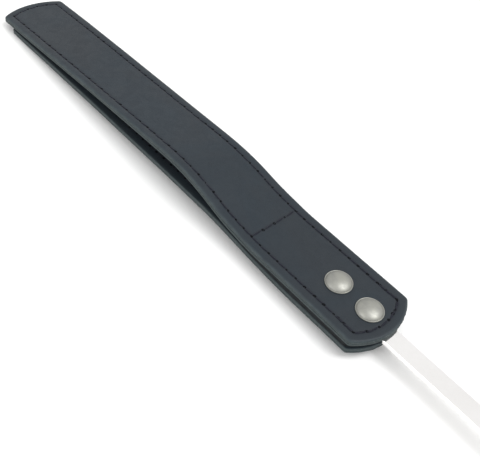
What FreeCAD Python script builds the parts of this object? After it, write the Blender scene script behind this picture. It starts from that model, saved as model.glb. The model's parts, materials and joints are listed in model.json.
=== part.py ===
import FreeCAD, Part
import math
import os
import re
import Sketcher

# A riding crop with a two-tongue leather head on a flat steel bar.
# Design frame: X along the crop towards the tongue tips, Z up, x = 0 at the near corners of the
# leather head, y = z = 0 on the bar's centreline. At the end the whole crop is laid on the ground
# on its pommel and the tip of its lower tongue, with the origin under the middle of its box.

SIZES = [
    # head leather
    ("strap_width", 30.0),
    ("ply_thickness", 1.35),
    ("upper_length", 221.2),
    ("near_bulge", 6.0),
    ("tip_bulge", 4.5),
    ("corner_radius", 2.0),
    ("lower_near_setback", 0.3),
    ("lower_tip_setback", 6.9),
    ("filler_setback", 1.5),
    ("filler_inset", 0.3),
    ("hinge_x", 56.0),
    ("hinge_flat", 2.0),
    ("hinge_clearance", 0.15),
    # side shape of the tongues
    ("upper_rise_lead", 12.4),
    ("upper_rise_radius", 97.0),
    ("upper_rise_run", 54.4),
    ("upper_droop_radius", 6160.0),
    ("lower_rise_gap", 0.3),
    ("lower_rise_radius", 260.0),
    ("lower_crest_run", 21.1),
    ("lower_droop_radius", 4670.0),
    ("lower_tip_bend", 12.0),
    ("lower_tip_radius", 200.0),
    # steel bar
    ("bar_width", 7.4),
    ("bar_thickness", 2.0),
    ("bar_arris", 0.45),
    ("tang_length", 25.0),
    ("bare_length", 190.0),
    # rivets
    ("rivet_rear_x", 4.6),
    ("rivet_pitch", 14.4),
    ("cap_radius", 5.05),
    ("cap_height", 2.0),
    ("cap_rim", 0.5),
    ("dome_shoulder_radius", 0.8),
    ("dome_shoulder_height", 0.72),
    ("dome_crown_radius", 0.45),
    ("dome_crown_height", 0.95),
    ("post_radius", 1.5),
    # stitching
    ("thread_radius", 0.4),
    ("stitch_pitch", 4.5),
    ("stitch_length", 3.3),
    ("stitch_margin", 3.85),
    ("stitch_proud", 0.15),
    ("worn_stitch_sink", 0.42),
    ("cross_stitch_back", 4.0),
    # handle
    ("ferrule_length", 26.0),
    ("ferrule_front_radius", 6.5),
    ("ferrule_rear_radius", 11.2),
    ("ferrule_bead", 1.0),
    ("ferrule_rear_bead", 4.0),
    ("grip_length", 116.0),
    ("grip_core_radius", 10.0),
    ("grip_end_radius", 11.2),
    ("grip_belly_radius", 12.2),
    ("bar_in_grip", 100.0),
    ("grip_pin_radius", 1.5),
    ("grip_pin_inset", 20.0),
    ("grip_pin_length", 19.7),
    ("pommel_radius", 15.0),
    ("pommel_skirt_radius", 11.6),
    ("pommel_socket_radius", 8.0),
    ("pommel_socket_depth", 9.0),
    ("pommel_pin_radius", 1.25),
    ("pommel_pin_length", 23.0),
    ("lanyard_hole_radius", 2.5),
    ("lanyard_bush_wall", 0.8),
    ("lanyard_bush_length", 27.0),
    # fits
    ("slot_clearance", 0.05),
]

doc = FreeCAD.newDocument("RidingCrop")
sheet = doc.addObject("Spreadsheet::Sheet", "Sizes")
for row, (alias, value) in enumerate(SIZES, start=1):
    sheet.set(f"A{row}", alias)
    sheet.set(f"B{row}", str(value))
    sheet.setAlias(f"B{row}", alias)
doc.recompute()

sub_parts = []


def size(text):
    # The value of a size, or of a short formula of sizes.
    return float(sheet.evalExpression(text))


def keep(thing, label):
    thing.Label = label
    sub_parts.append(thing)
    return thing


def vector(x, z):
    return FreeCAD.Vector(x, z, 0)


# ---------------------------------------------------------------- places worked out from the sizes

half_width = size("strap_width / 2")
half_bar = size("bar_thickness / 2")
ply = size("ply_thickness")
hinge_x = size("hinge_x")
rivet_xs = [size("rivet_rear_x"), size("rivet_rear_x + rivet_pitch")]
near_apex_x = -size("near_bulge")
ferrule_front_x = near_apex_x - size("bare_length")
grip_front_x = ferrule_front_x - size("ferrule_length")
grip_rear_x = grip_front_x - size("grip_length")
pommel_x = grip_rear_x - size("pommel_radius")
upper_tip_x = size("upper_length")
lower_tip_x = size("upper_length - lower_tip_setback")

# How far the tongue paths are carried past both ends of the head.
reach = 400.0


# ---------------------------------------------------------------- side shape of the tongues

def make_path(start_x, start_z, heading, runs):
    # A chain of tangent runs in the XZ plane. A run is (bend, radius, end x): bend is +1 where it
    # turns upwards, -1 where it turns downwards and 0 where it is straight; radius is a formula.
    path = []
    x, z = start_x, start_z
    for bend, radius_text, end_x in runs:
        run = {"bend": bend, "x0": x, "z0": z, "h0": heading, "x1": end_x, "text": radius_text}
        if bend:
            radius = size(radius_text)
            run["radius"] = radius
            run["cx"] = x - bend * radius * math.sin(heading)
            run["cz"] = z + bend * radius * math.cos(heading)
            heading = math.asin((end_x - run["cx"]) / (bend * radius))
            z = run["cz"] - bend * radius * math.cos(heading)
        else:
            z += (end_x - x) * math.tan(heading)
        x = end_x
        run["z1"] = z
        run["h1"] = heading
        path.append(run)
    return path


def path_point(path, x, offset=0.0):
    # Where the path is at x, moved by the offset along its upward normal, and its heading there.
    run = next((r for r in path if x <= r["x1"]), path[-1])
    heading = run["h0"]
    z = run["z0"] + (x - run["x0"]) * math.tan(heading)
    if run["bend"]:
        heading = math.asin((x - run["cx"]) / (run["bend"] * run["radius"]))
        z = run["cz"] - run["bend"] * run["radius"] * math.cos(heading)
    return vector(x - offset * math.sin(heading), z + offset * math.cos(heading)), heading


mid_z = half_bar + ply
flat_start_x = size("hinge_x - hinge_flat")
flat_end_x = size("hinge_x + hinge_flat")
upper_rise_x = size("hinge_x - upper_rise_lead")
lower_rise_x = size("tang_length + lower_rise_gap")
upper_path = make_path(-reach, mid_z, 0.0, [
    (0, "", upper_rise_x),
    (1, "upper_rise_radius", flat_start_x),
    (0, "", flat_end_x),
    (1, "upper_rise_radius", upper_rise_x + size("upper_rise_run / 2")),
    (-1, "upper_rise_radius", upper_rise_x + size("upper_rise_run")),
    (-1, "upper_droop_radius", reach),
])
crest_radius = "lower_rise_radius * lower_crest_run / (hinge_x - hinge_flat - tang_length - lower_rise_gap)"
lower_path = make_path(-reach, -mid_z, 0.0, [
    (0, "", lower_rise_x),
    (1, "lower_rise_radius", flat_start_x),
    (0, "", flat_end_x),
    (-1, crest_radius, flat_end_x + size("lower_crest_run")),
    (-1, "lower_droop_radius", lower_tip_x - size("lower_tip_bend")),
    (1, "lower_tip_radius", lower_tip_x),
    (0, "", reach),
])


# ---------------------------------------------------------------- sketch helpers

def new_sketch(name, side_view):
    sketch = doc.addObject("Sketcher::SketchObject", name)
    if side_view:
        sketch.Placement = FreeCAD.Placement(
            FreeCAD.Vector(), FreeCAD.Rotation(FreeCAD.Vector(1, 0, 0), 90)
        )
    return sketch


def draw_loop(sketch, edges):
    # Draws a closed loop of (geometry, first end, radius formula) and joins each to the next.
    indices = [sketch.addGeometry(edge, False) for edge, start, text in edges]
    for place, (edge, start, text) in enumerate(edges):
        after = (place + 1) % len(edges)
        sketch.addConstraint(Sketcher.Constraint(
            "Coincident", indices[place], 3 - start, indices[after], edges[after][1]
        ))
        if text:
            radius = sketch.addConstraint(Sketcher.Constraint("Radius", indices[place], edge.Radius))
            sketch.setExpression(f"Constraints[{radius}]", bind(text))


def bind(text):
    # Turns a formula of sizes into an expression that reads them from the sheet.
    for alias, value in SIZES:
        text = re.sub(rf"\b{alias}\b", f"Sizes.{alias}", text)
    return text


def line(a, b):
    return (Part.LineSegment(a, b), 1, "")


def arc(centre_x, centre_z, radius, start, end, text=""):
    # An arc from the angle start to the angle end, either way round.
    circle = Part.Circle(vector(centre_x, centre_z), FreeCAD.Vector(0, 0, 1), radius)
    forward = end > start
    curve = Part.ArcOfCircle(circle, min(start, end), max(start, end))
    return (curve, 1 if forward else 2, text)


def ribbon_edge(path, x_start, x_end, plies):
    # One long edge of a ply: the path's runs between two ends, moved up by a number of plies.
    offset = plies * ply
    edges = []
    for run in path:
        x0 = max(run["x0"], x_start)
        x1 = min(run["x1"], x_end)
        if x1 <= x0:
            continue
        a, heading_a = path_point([run], x0, offset)
        b, heading_b = path_point([run], x1, offset)
        if run["bend"]:
            side = -math.pi / 2 * run["bend"]
            text = f"{run['text']} - {run['bend'] * plies} * ply_thickness"
            radius = run["radius"] - run["bend"] * offset
            edges.append(arc(run["cx"], run["cz"], radius, heading_a + side, heading_b + side, text))
        else:
            edges.append(line(a, b))
    return edges


def turned_back(edges):
    return [(curve, 3 - start, text) for curve, start, text in reversed(edges)]


# ---------------------------------------------------------------- leather plies

def hinge_point(path, along, plies):
    # A point near the hinge line: along the tongue from the line, and up by a number of plies.
    x = hinge_x + along * math.cos(path_point(path, hinge_x)[1])
    return x, path_point(path, x, plies * ply)[0]


def hinge_arc(path, low, high, radius):
    # The rounded end at the hinge line, from the lower edge of the ply to its upper edge.
    centre, heading = path_point(path, hinge_x)
    ends = [math.sqrt(radius ** 2 - (plies * ply) ** 2) for plies in (low, high)]
    points = [hinge_point(path, -end, plies) for end, plies in zip(ends, (low, high))]
    angles = [
        math.atan2(point.y - centre.y, point.x - centre.x) % (2 * math.pi) for x, point in points
    ]
    return arc(centre.x, centre.y, radius, angles[0], angles[1]), points[0][0], points[1][0]


def side_shape(label, path, low, high, is_root):
    # The ply seen from the side: between two heights counted in plies from the path.
    sketch = new_sketch(label + "_side", True)
    if is_root:
        radius = size("ply_thickness + hinge_clearance")
        end, x_low, x_high = hinge_arc(path, low, high, radius)
        near_x = near_apex_x - half_width
        bottom = ribbon_edge(path, near_x, x_low, low)
        top = ribbon_edge(path, near_x, x_high, high)
        closing = line(path_point(path, near_x, high * ply)[0], path_point(path, near_x, low * ply)[0])
        draw_loop(sketch, bottom + [end] + turned_back(top) + [closing])
    else:
        end, x_low, x_high = hinge_arc(path, low, high, ply)
        far_x = upper_tip_x + half_width
        bottom = ribbon_edge(path, x_low, far_x, low)
        top = ribbon_edge(path, x_high, far_x, high)
        closing = line(path_point(path, far_x, low * ply)[0], path_point(path, far_x, high * ply)[0])
        draw_loop(sketch, bottom + [closing] + turned_back(top) + turned_back([end]))
    solid = doc.addObject("Part::Extrusion", label + "_sheet")
    solid.Base = sketch
    solid.DirMode = "Normal"
    solid.Solid = True
    solid.Symmetric = True
    solid.setExpression("LengthFwd", bind("2 * strap_width"))
    return solid


def plan_shape(label, corner_x, bulge, side_x, width, holes):
    # The ply seen from above: a bulging end with rounded corners at corner_x, straight sides up
    # to side_x, and round holes for the rivets.
    sketch = new_sketch(label + "_plan", False)
    facing = 1 if corner_x > side_x else -1
    w = size(width)
    b = size(bulge)
    end_radius = (w * w + b * b) / (2 * b)
    corner = size("corner_radius")
    centre_x = corner_x + facing * (b - end_radius)
    corner_y = w - corner
    corner_x = centre_x + facing * math.sqrt((end_radius - corner) ** 2 - corner_y ** 2)
    lean = math.atan2(corner_y, facing * (corner_x - centre_x))
    side_angle = math.pi / 2
    end_text = f"(({width}) ^ 2 + {bulge} ^ 2) / (2 * {bulge})"
    if facing > 0:
        loop = [
            line(vector(side_x, -w), vector(corner_x, -w)),
            arc(corner_x, -corner_y, corner, -side_angle, -lean, "corner_radius"),
            arc(centre_x, 0, end_radius, -lean, lean, end_text),
            arc(corner_x, corner_y, corner, lean, side_angle, "corner_radius"),
            line(vector(corner_x, w), vector(side_x, w)),
            line(vector(side_x, w), vector(side_x, -w)),
        ]
    else:
        half_turn = math.pi
        loop = [
            line(vector(side_x, w), vector(corner_x, w)),
            arc(corner_x, corner_y, corner, side_angle, half_turn - lean, "corner_radius"),
            arc(centre_x, 0, end_radius, half_turn - lean, half_turn + lean, end_text),
            arc(corner_x, -corner_y, corner, half_turn + lean, half_turn + side_angle, "corner_radius"),
            line(vector(corner_x, -w), vector(side_x, -w)),
            line(vector(side_x, -w), vector(side_x, w)),
        ]
    draw_loop(sketch, loop)
    for x in holes:
        centre = vector(x, 0)
        hole = sketch.addGeometry(Part.Circle(centre, FreeCAD.Vector(0, 0, 1), size("post_radius")), False)
        radius = sketch.addConstraint(Sketcher.Constraint("Radius", hole, size("post_radius")))
        sketch.setExpression(f"Constraints[{radius}]", bind("post_radius"))
    solid = doc.addObject("Part::Extrusion", label + "_outline")
    solid.Base = sketch
    solid.DirMode = "Normal"
    solid.FaceMakerClass = "Part::FaceMakerBullseye"
    solid.Solid = True
    solid.Symmetric = True
    solid.setExpression("LengthFwd", bind("4 * strap_width"))
    return solid


def common(label, first, second):
    both = doc.addObject("Part::Common", label)
    both.Base = first
    both.Tool = second
    return keep(both, label)


def root_ply(label, path, low, high, corner_x):
    # A ply of the joined zone, with the rivet holes.
    outline = plan_shape(label, corner_x, "near_bulge", hinge_x + half_width, "strap_width / 2", rivet_xs)
    return common(label, side_shape(label, path, low, high, True), outline)


def tongue_ply(label, path, low, high, corner_x):
    # A ply of a free tongue, from the hinge line to the rounded tip.
    outline = plan_shape(label, corner_x, "tip_bulge", hinge_x - half_width, "strap_width / 2", [])
    return common(label, side_shape(label, path, low, high, False), outline)


lower_near_x = size("lower_near_setback")
root_ply("upper_root_face", upper_path, 0, 1, 0.0)
root_ply("upper_root_lining", upper_path, -1, 0, 0.0)
root_ply("lower_root_lining", lower_path, 0, 1, lower_near_x)
root_ply("lower_root_face", lower_path, -1, 0, lower_near_x)
tongue_ply("upper_tongue_face", upper_path, 0, 1, upper_tip_x)
tongue_ply("upper_tongue_lining", upper_path, -1, 0, upper_tip_x)
tongue_ply("lower_tongue_lining", lower_path, 0, 1, lower_tip_x)
tongue_ply("lower_tongue_face", lower_path, -1, 0, lower_tip_x)


def make_filler():
    # The leather between the tongues around the tang. Its underside follows the lower tongue up,
    # so it thins to a skived edge before the hinge line, and a slot takes the tang.
    label = "head_filler"
    sketch = new_sketch(label + "_side", True)
    near_x = near_apex_x - half_width
    end_x = flat_start_x
    bottom = ribbon_edge(lower_path, near_x, end_x, 1)
    top = ribbon_edge(upper_path, near_x, end_x, -1)
    low_end = path_point(lower_path, end_x, ply)[0]
    high_end = path_point(upper_path, end_x, -ply)[0]
    loop = bottom + [line(low_end, high_end)] + turned_back(top)
    loop += [line(vector(near_x, half_bar), vector(near_x, -half_bar))]
    draw_loop(sketch, loop)
    solid = doc.addObject("Part::Extrusion", label + "_sheet")
    solid.Base = sketch
    solid.DirMode = "Normal"
    solid.Solid = True
    solid.Symmetric = True
    solid.setExpression("LengthFwd", bind("2 * strap_width"))
    outline = plan_shape(
        label, size("filler_setback"), "near_bulge", hinge_x + half_width,
        "strap_width / 2 - filler_inset", [],
    )
    blank = doc.addObject("Part::Common", label + "_blank")
    blank.Base = solid
    blank.Tool = outline
    slot = doc.addObject("Part::Box", label + "_slot")
    slot.setExpression("Length", bind("strap_width + tang_length"))
    slot.setExpression("Width", bind("bar_width + 2 * slot_clearance"))
    slot.setExpression("Height", bind("2 * bar_thickness"))
    slot.setExpression("Placement.Base.x", bind("-1 * strap_width"))
    slot.setExpression("Placement.Base.y", bind("-1 * bar_width / 2 - slot_clearance"))
    slot.setExpression("Placement.Base.z", bind("-1 * bar_thickness"))
    cut = doc.addObject("Part::Cut", label)
    cut.Base = blank
    cut.Tool = slot
    keep(cut, label)


make_filler()


# ---------------------------------------------------------------- bodies made by PartDesign

def new_body(label):
    body = doc.addObject("PartDesign::Body", label)
    return keep(body, label)


def body_sketch(body, role, name):
    plane = next(o for o in body.Origin.OriginFeatures if o.Role == role)
    sketch = body.newObject("Sketcher::SketchObject", name)
    sketch.AttachmentSupport = [(plane, "")]
    sketch.MapMode = "FlatFace"
    return sketch


def circle_at(sketch, x, y, radius_text):
    # A circle whose centre and radius are held by formulas of sizes or by plain numbers.
    centre = FreeCAD.Vector(size(x), size(y), 0)
    normal = FreeCAD.Vector(0, 0, 1)
    index = sketch.addGeometry(Part.Circle(centre, normal, size(radius_text)), False)
    for kind, text, ends in (("Radius", radius_text, (index,)), ("DistanceX", x, (index, 3)),
                             ("DistanceY", y, (index, 3))):
        constraint = sketch.addConstraint(Sketcher.Constraint(kind, *ends, size(text)))
        sketch.setExpression(f"Constraints[{constraint}]", bind(text))
    return index


def outline(sketch, points):
    # A closed loop of straight lines through (x, y) points, each held by formulas of sizes.
    corners = [FreeCAD.Vector(size(x), size(y), 0) for x, y in points]
    indices = []
    for place, corner in enumerate(corners):
        after = corners[(place + 1) % len(corners)]
        indices.append(sketch.addGeometry(Part.LineSegment(corner, after), False))
    for place, index in enumerate(indices):
        after = indices[(place + 1) % len(indices)]
        sketch.addConstraint(Sketcher.Constraint("Coincident", index, 2, after, 1))
        for kind, text in zip(("DistanceX", "DistanceY"), points[place]):
            constraint = sketch.addConstraint(Sketcher.Constraint(kind, index, 1, size(text)))
            sketch.setExpression(f"Constraints[{constraint}]", bind(text))


def pad(body, sketch, length_text, symmetric=True):
    feature = body.newObject("PartDesign::Pad", body.Label + "_pad")
    feature.Profile = sketch
    feature.SideType = "Symmetric" if symmetric else "One side"
    feature.setExpression("Length", bind(length_text))
    body.Tip = feature
    return feature


def pocket_through(body, sketch):
    feature = body.newObject("PartDesign::Pocket", body.Label + "_holes")
    feature.Profile = sketch
    feature.Type = "ThroughAll"
    feature.SideType = "Symmetric"
    body.Tip = feature
    return feature


def revolve(body, sketch, axis):
    feature = body.newObject("PartDesign::Revolution", body.Label + "_turn")
    feature.Profile = sketch
    feature.ReferenceAxis = (sketch, [axis])
    body.Tip = feature
    return feature


# The chain of places along the crop, as formulas of sizes.
FERRULE_FRONT = "-1 * near_bulge - bare_length"
GRIP_FRONT = FERRULE_FRONT + " - ferrule_length"
GRIP_REAR = GRIP_FRONT + " - grip_length"
BAR_REAR = GRIP_FRONT + " - bar_in_grip"
GRIP_PINS = [GRIP_FRONT + " - grip_pin_inset", BAR_REAR + " + grip_pin_inset"]
RIVETS = ["rivet_rear_x", "rivet_rear_x + rivet_pitch"]
POMMEL_PIN = GRIP_REAR + " - pommel_socket_depth / 2"
POMMEL_CENTRE = GRIP_REAR + " - pommel_radius"
BELLY = "(grip_belly_radius - grip_end_radius)"
BELLY_ARC = f"((grip_length / 2) ^ 2 + {BELLY} ^ 2) / (2 * {BELLY})"


def make_bar():
    # A flat steel bar from inside the grip to the end of the tang, with eased long arrises.
    body = new_body("steel_bar")
    section = body_sketch(body, "XZ_Plane", "bar_side")
    outline(section, [
        (BAR_REAR, "bar_thickness / -2"), ("tang_length", "bar_thickness / -2"),
        ("tang_length", "bar_thickness / 2"), (BAR_REAR, "bar_thickness / 2"),
    ])
    pad(body, section, "bar_width")
    doc.recompute()
    blank = body.Tip
    long_edges = [
        f"Edge{place}" for place, edge in enumerate(blank.Shape.Edges, start=1)
        if edge.Length > size("bare_length")
    ]
    eased = body.newObject("PartDesign::Fillet", "bar_arrises")
    eased.Base = (blank, long_edges)
    eased.setExpression("Radius", bind("bar_arris"))
    body.Tip = eased
    holes = body_sketch(body, "XY_Plane", "bar_holes")
    for x in RIVETS:
        circle_at(holes, x, "0", "post_radius")
    for x in GRIP_PINS:
        circle_at(holes, x, "0", "grip_pin_radius")
    pocket_through(body, holes)


def make_rivet_part(label, face_z, thickness_text, rim_text, radius_text, domed):
    # A turned rivet piece, and a second one at the rivet pitch.
    body = new_body(label)
    profile = body_sketch(body, "XZ_Plane", label + "_profile")
    x = "rivet_rear_x"
    corners = [(x, face_z), (f"{x} + {radius_text}", face_z)]
    if domed:
        corners += [
            (f"{x} + {radius_text}", f"{face_z} + {rim_text}"),
            (f"{x} + {radius_text} * dome_shoulder_radius",
             f"{face_z} + {thickness_text} * dome_shoulder_height"),
            (f"{x} + {radius_text} * dome_crown_radius",
             f"{face_z} + {thickness_text} * dome_crown_height"),
        ]
    else:
        corners += [(f"{x} + {radius_text}", f"{face_z} + {thickness_text}")]
    corners += [(x, f"{face_z} + {thickness_text}")]
    outline(profile, corners)
    axis = profile.addGeometry(Part.LineSegment(
        FreeCAD.Vector(size(x), 0, 0), FreeCAD.Vector(size(x), 1, 0)), True)
    profile.addConstraint(Sketcher.Constraint("Vertical", axis))
    held = profile.addConstraint(Sketcher.Constraint("DistanceX", axis, 1, size(x)))
    profile.setExpression(f"Constraints[{held}]", bind(x))
    turned = revolve(body, profile, "Axis0")
    pair = body.newObject("PartDesign::LinearPattern", label + "_pair")
    pair.Originals = [turned]
    pair.Direction = (next(o for o in body.Origin.OriginFeatures if o.Role == "X_Axis"), [""])
    pair.Occurrences = 2
    pair.setExpression("Length", bind("rivet_pitch"))
    body.Tip = pair


make_bar()
UPPER_FACE_Z = "bar_thickness / 2 + 2 * ply_thickness"
LOWER_FACE_Z = "-1 * bar_thickness / 2 - 2 * ply_thickness"
STACK = "bar_thickness + 4 * ply_thickness"
make_rivet_part("rivet_caps_upper", UPPER_FACE_Z, "cap_height", "cap_rim", "cap_radius", True)
make_rivet_part("rivet_caps_lower", LOWER_FACE_Z, "-1 * cap_height", "-1 * cap_rim", "cap_radius", True)
make_rivet_part("rivet_posts", LOWER_FACE_Z, STACK, "0", "post_radius", False)


# ---------------------------------------------------------------- handle

def make_ferrule():
    # The tapered steel ferrule in front of the grip, with a slot for the bar.
    body = new_body("ferrule")
    profile = body_sketch(body, "XZ_Plane", "ferrule_profile")
    outline(profile, [
        (FERRULE_FRONT, "0"), (FERRULE_FRONT, "ferrule_front_radius - ferrule_bead"),
        (f"{FERRULE_FRONT} - ferrule_bead", "ferrule_front_radius"),
        (f"{FERRULE_FRONT} - 3 * ferrule_bead", "ferrule_front_radius"),
        (f"{GRIP_FRONT} + ferrule_rear_bead + ferrule_bead", "ferrule_rear_radius - ferrule_bead"),
        (f"{GRIP_FRONT} + ferrule_rear_bead", "ferrule_rear_radius"),
        (f"{GRIP_FRONT} + ferrule_bead", "ferrule_rear_radius"),
        (GRIP_FRONT, "ferrule_rear_radius - ferrule_bead / 2"),
        (GRIP_FRONT, "0"),
    ])
    revolve(body, profile, "H_Axis")
    slot = body_sketch(body, "YZ_Plane", "ferrule_slot")
    half_w = "bar_width / 2 + slot_clearance"
    half_t = "bar_thickness / 2 + slot_clearance"
    outline(slot, [
        (f"-1 * ({half_w})", f"-1 * ({half_t})"), (half_w, f"-1 * ({half_t})"),
        (half_w, half_t), (f"-1 * ({half_w})", half_t),
    ])
    pocket_through(body, slot)


def make_core_half(label, side):
    # Half of the turned wooden core, split through the bar: grooved for the bar, bored for the
    # pins, and necked down at its rear end for the pommel.
    body = new_body(label)
    profile = body_sketch(body, "XY_Plane", label + "_profile")
    neck = "pommel_socket_radius"
    outline(profile, [
        (GRIP_FRONT, "0"), (GRIP_FRONT, "grip_core_radius"), (GRIP_REAR, "grip_core_radius"),
        (GRIP_REAR, neck), (f"{GRIP_REAR} - pommel_socket_depth", neck),
        (f"{GRIP_REAR} - pommel_socket_depth", "0"),
    ])
    turned = revolve(body, profile, "H_Axis")
    turned.Angle = 180
    doc.recompute()
    if side * turned.Shape.CenterOfMass.z < 0:
        turned.Reversed = True
    groove = body_sketch(body, "XZ_Plane", label + "_groove")
    half_t = f"{side} * bar_thickness / 2"
    outline(groove, [
        (BAR_REAR, "0"), (FERRULE_FRONT, "0"), (FERRULE_FRONT, half_t), (BAR_REAR, half_t),
    ])
    cut = body.newObject("PartDesign::Pocket", label + "_bar_groove")
    cut.Profile = groove
    cut.SideType = "Symmetric"
    cut.setExpression("Length", bind("bar_width"))
    body.Tip = cut
    bores = body_sketch(body, "XY_Plane", label + "_bores")
    for x in GRIP_PINS:
        circle_at(bores, x, "0", "grip_pin_radius")
    circle_at(bores, POMMEL_PIN, "0", "pommel_pin_radius")
    pocket_through(body, bores)


def make_pins(label, xs, radius_text, length_text):
    # Plain round pins standing across the crop.
    body = new_body(label)
    sketch = body_sketch(body, "XY_Plane", label + "_ends")
    for x in xs:
        circle_at(sketch, x, "0", radius_text)
    pad(body, sketch, length_text)


def make_sleeve():
    # The stitched leather sleeve over the core, a little fuller at its middle.
    body = new_body("grip_sleeve")
    profile = body_sketch(body, "XZ_Plane", "sleeve_profile")
    front = vector(grip_front_x, size("grip_end_radius"))
    rear = vector(grip_rear_x, size("grip_end_radius"))
    inner = size("grip_core_radius")
    radius = size(BELLY_ARC)
    half_turn = math.asin(size("grip_length / 2") / radius)
    middle_x = (grip_front_x + grip_rear_x) / 2
    quarter = math.pi / 2
    draw_loop(profile, [
        line(vector(grip_rear_x, inner), vector(grip_front_x, inner)),
        line(vector(grip_front_x, inner), front),
        arc(middle_x, size("grip_belly_radius") - radius, radius,
            quarter - half_turn, quarter + half_turn, BELLY_ARC),
        line(rear, vector(grip_rear_x, inner)),
    ])
    revolve(body, profile, "H_Axis")


def make_pommel():
    # The ball pommel: a skirt over the core's neck, a ball, and a cross hole for the lanyard bush.
    body = new_body("pommel")
    profile = body_sketch(body, "XZ_Plane", "pommel_profile")
    radius = size("pommel_radius")
    skirt = size("pommel_skirt_radius")
    socket = size("pommel_socket_radius")
    floor_x = grip_rear_x - size("pommel_socket_depth")
    meet_x = pommel_x + math.sqrt(radius ** 2 - skirt ** 2)
    meet_angle = math.atan2(skirt, meet_x - pommel_x)
    draw_loop(profile, [
        line(vector(floor_x, 0), vector(floor_x, socket)),
        line(vector(floor_x, socket), vector(grip_rear_x, socket)),
        line(vector(grip_rear_x, socket), vector(grip_rear_x, skirt)),
        line(vector(grip_rear_x, skirt), vector(meet_x, skirt)),
        arc(pommel_x, 0, radius, meet_angle, math.pi, "pommel_radius"),
        line(vector(pommel_x - radius, 0), vector(floor_x, 0)),
    ])
    revolve(body, profile, "H_Axis")
    pin_hole = body_sketch(body, "XY_Plane", "pommel_pin_hole")
    circle_at(pin_hole, POMMEL_PIN, "0", "pommel_pin_radius")
    pocket_through(body, pin_hole)
    lanyard_hole = body_sketch(body, "XZ_Plane", "pommel_lanyard_hole")
    circle_at(lanyard_hole, POMMEL_CENTRE, "0", "lanyard_hole_radius + lanyard_bush_wall")
    pocket = body.newObject("PartDesign::Pocket", "pommel_cross_hole")
    pocket.Profile = lanyard_hole
    pocket.Type = "ThroughAll"
    pocket.SideType = "Symmetric"
    body.Tip = pocket


def make_bush():
    # The tube that lines the lanyard hole.
    body = new_body("lanyard_bush")
    ring = body_sketch(body, "XZ_Plane", "bush_ring")
    circle_at(ring, POMMEL_CENTRE, "0", "lanyard_hole_radius + lanyard_bush_wall")
    circle_at(ring, POMMEL_CENTRE, "0", "lanyard_hole_radius")
    pad(body, ring, "lanyard_bush_length")


make_ferrule()
make_core_half("grip_core_upper", 1)
make_core_half("grip_core_lower", -1)
make_pins("grip_pins", GRIP_PINS, "grip_pin_radius", "grip_pin_length")
make_sleeve()
make_pommel()
make_pins("pommel_pin", [POMMEL_PIN], "pommel_pin_radius", "pommel_pin_length")
make_bush()


# ---------------------------------------------------------------- stitching

def stitch(path, plies, x, y, turn):
    # One stitch lying in a leather face at (x, y), turned in plan, following the face's slope.
    # The underside's thread is worn flush, so it doesn't lift the leather off the ground.
    depth = size("thread_radius - stitch_proud") if plies > 0 else -size("worn_stitch_sink")
    point, slope = path_point(path, x, plies * ply - depth)
    along = FreeCAD.Vector(
        math.cos(turn) * math.cos(slope), math.sin(turn), math.cos(turn) * math.sin(slope)
    )
    length = size("stitch_length")
    start = FreeCAD.Vector(point.x, y, point.y) - along * (length / 2)
    return Part.makeCylinder(size("thread_radius"), length, start, along)


def row_of(count_length):
    # How many stitches fit a length, and the places of their middles along it.
    count = max(1, round(count_length / size("stitch_pitch")))
    return [(place + 0.5) * count_length / count for place in range(count)]


def side_rows(path, plies, x_start, x_end):
    # The two long rows, one along each edge.
    row_y = size("strap_width / 2 - stitch_margin")
    return [
        stitch(path, plies, x_start + along, y, 0.0)
        for y in (-row_y, row_y) for along in row_of(x_end - x_start)
    ]


def end_arc(corner_x, facing, bulge_text):
    # The stitched arc parallel to a bulging end: its centre, radius and where the side rows meet it.
    w = size("strap_width / 2")
    b = size(bulge_text)
    end_radius = (w * w + b * b) / (2 * b)
    centre_x = corner_x + facing * (b - end_radius)
    radius = end_radius - size("stitch_margin")
    half_turn = math.asin((w - size("stitch_margin")) / radius)
    return centre_x, radius, half_turn, centre_x + facing * radius * math.cos(half_turn)


def end_row(path, plies, corner_x, facing, bulge_text):
    centre_x, radius, half_turn, meet_x = end_arc(corner_x, facing, bulge_text)
    stitches = []
    for along in row_of(2 * half_turn * radius):
        angle = along / radius - half_turn
        x = centre_x + facing * radius * math.cos(angle)
        stitches.append(stitch(path, plies, x, radius * math.sin(angle), math.pi / 2 + facing * angle))
    return stitches


def stitch_group(label, stitches):
    group = doc.addObject("Part::Feature", label)
    group.Shape = Part.makeCompound(stitches)
    keep(group, label)


def head_stitches(prefix, path, plies, near_x, tip_x):
    # All the stitching seen on one outer face of the head.
    start = end_arc(near_x, -1, "near_bulge")[3]
    end = end_arc(tip_x, 1, "tip_bulge")[3]
    before = hinge_x - size("stitch_pitch / 2 + hinge_flat")
    after = hinge_x + size("hinge_flat")
    root = side_rows(path, plies, start, before) + end_row(path, plies, near_x, -1, "near_bulge")
    stitch_group(prefix + "_root_stitches", root)
    tongue = side_rows(path, plies, after, end) + end_row(path, plies, tip_x, 1, "tip_bulge")
    stitch_group(prefix + "_tongue_stitches", tongue)
    row_y = size("strap_width / 2 - stitch_margin")
    inner = row_y - size("stitch_pitch / 2")
    cross = [
        stitch(path, plies, size("hinge_x - cross_stitch_back"), along - inner, math.pi / 2)
        for along in row_of(2 * inner)
    ]
    stitch_group(prefix + "_cross_stitches", cross)


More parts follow.
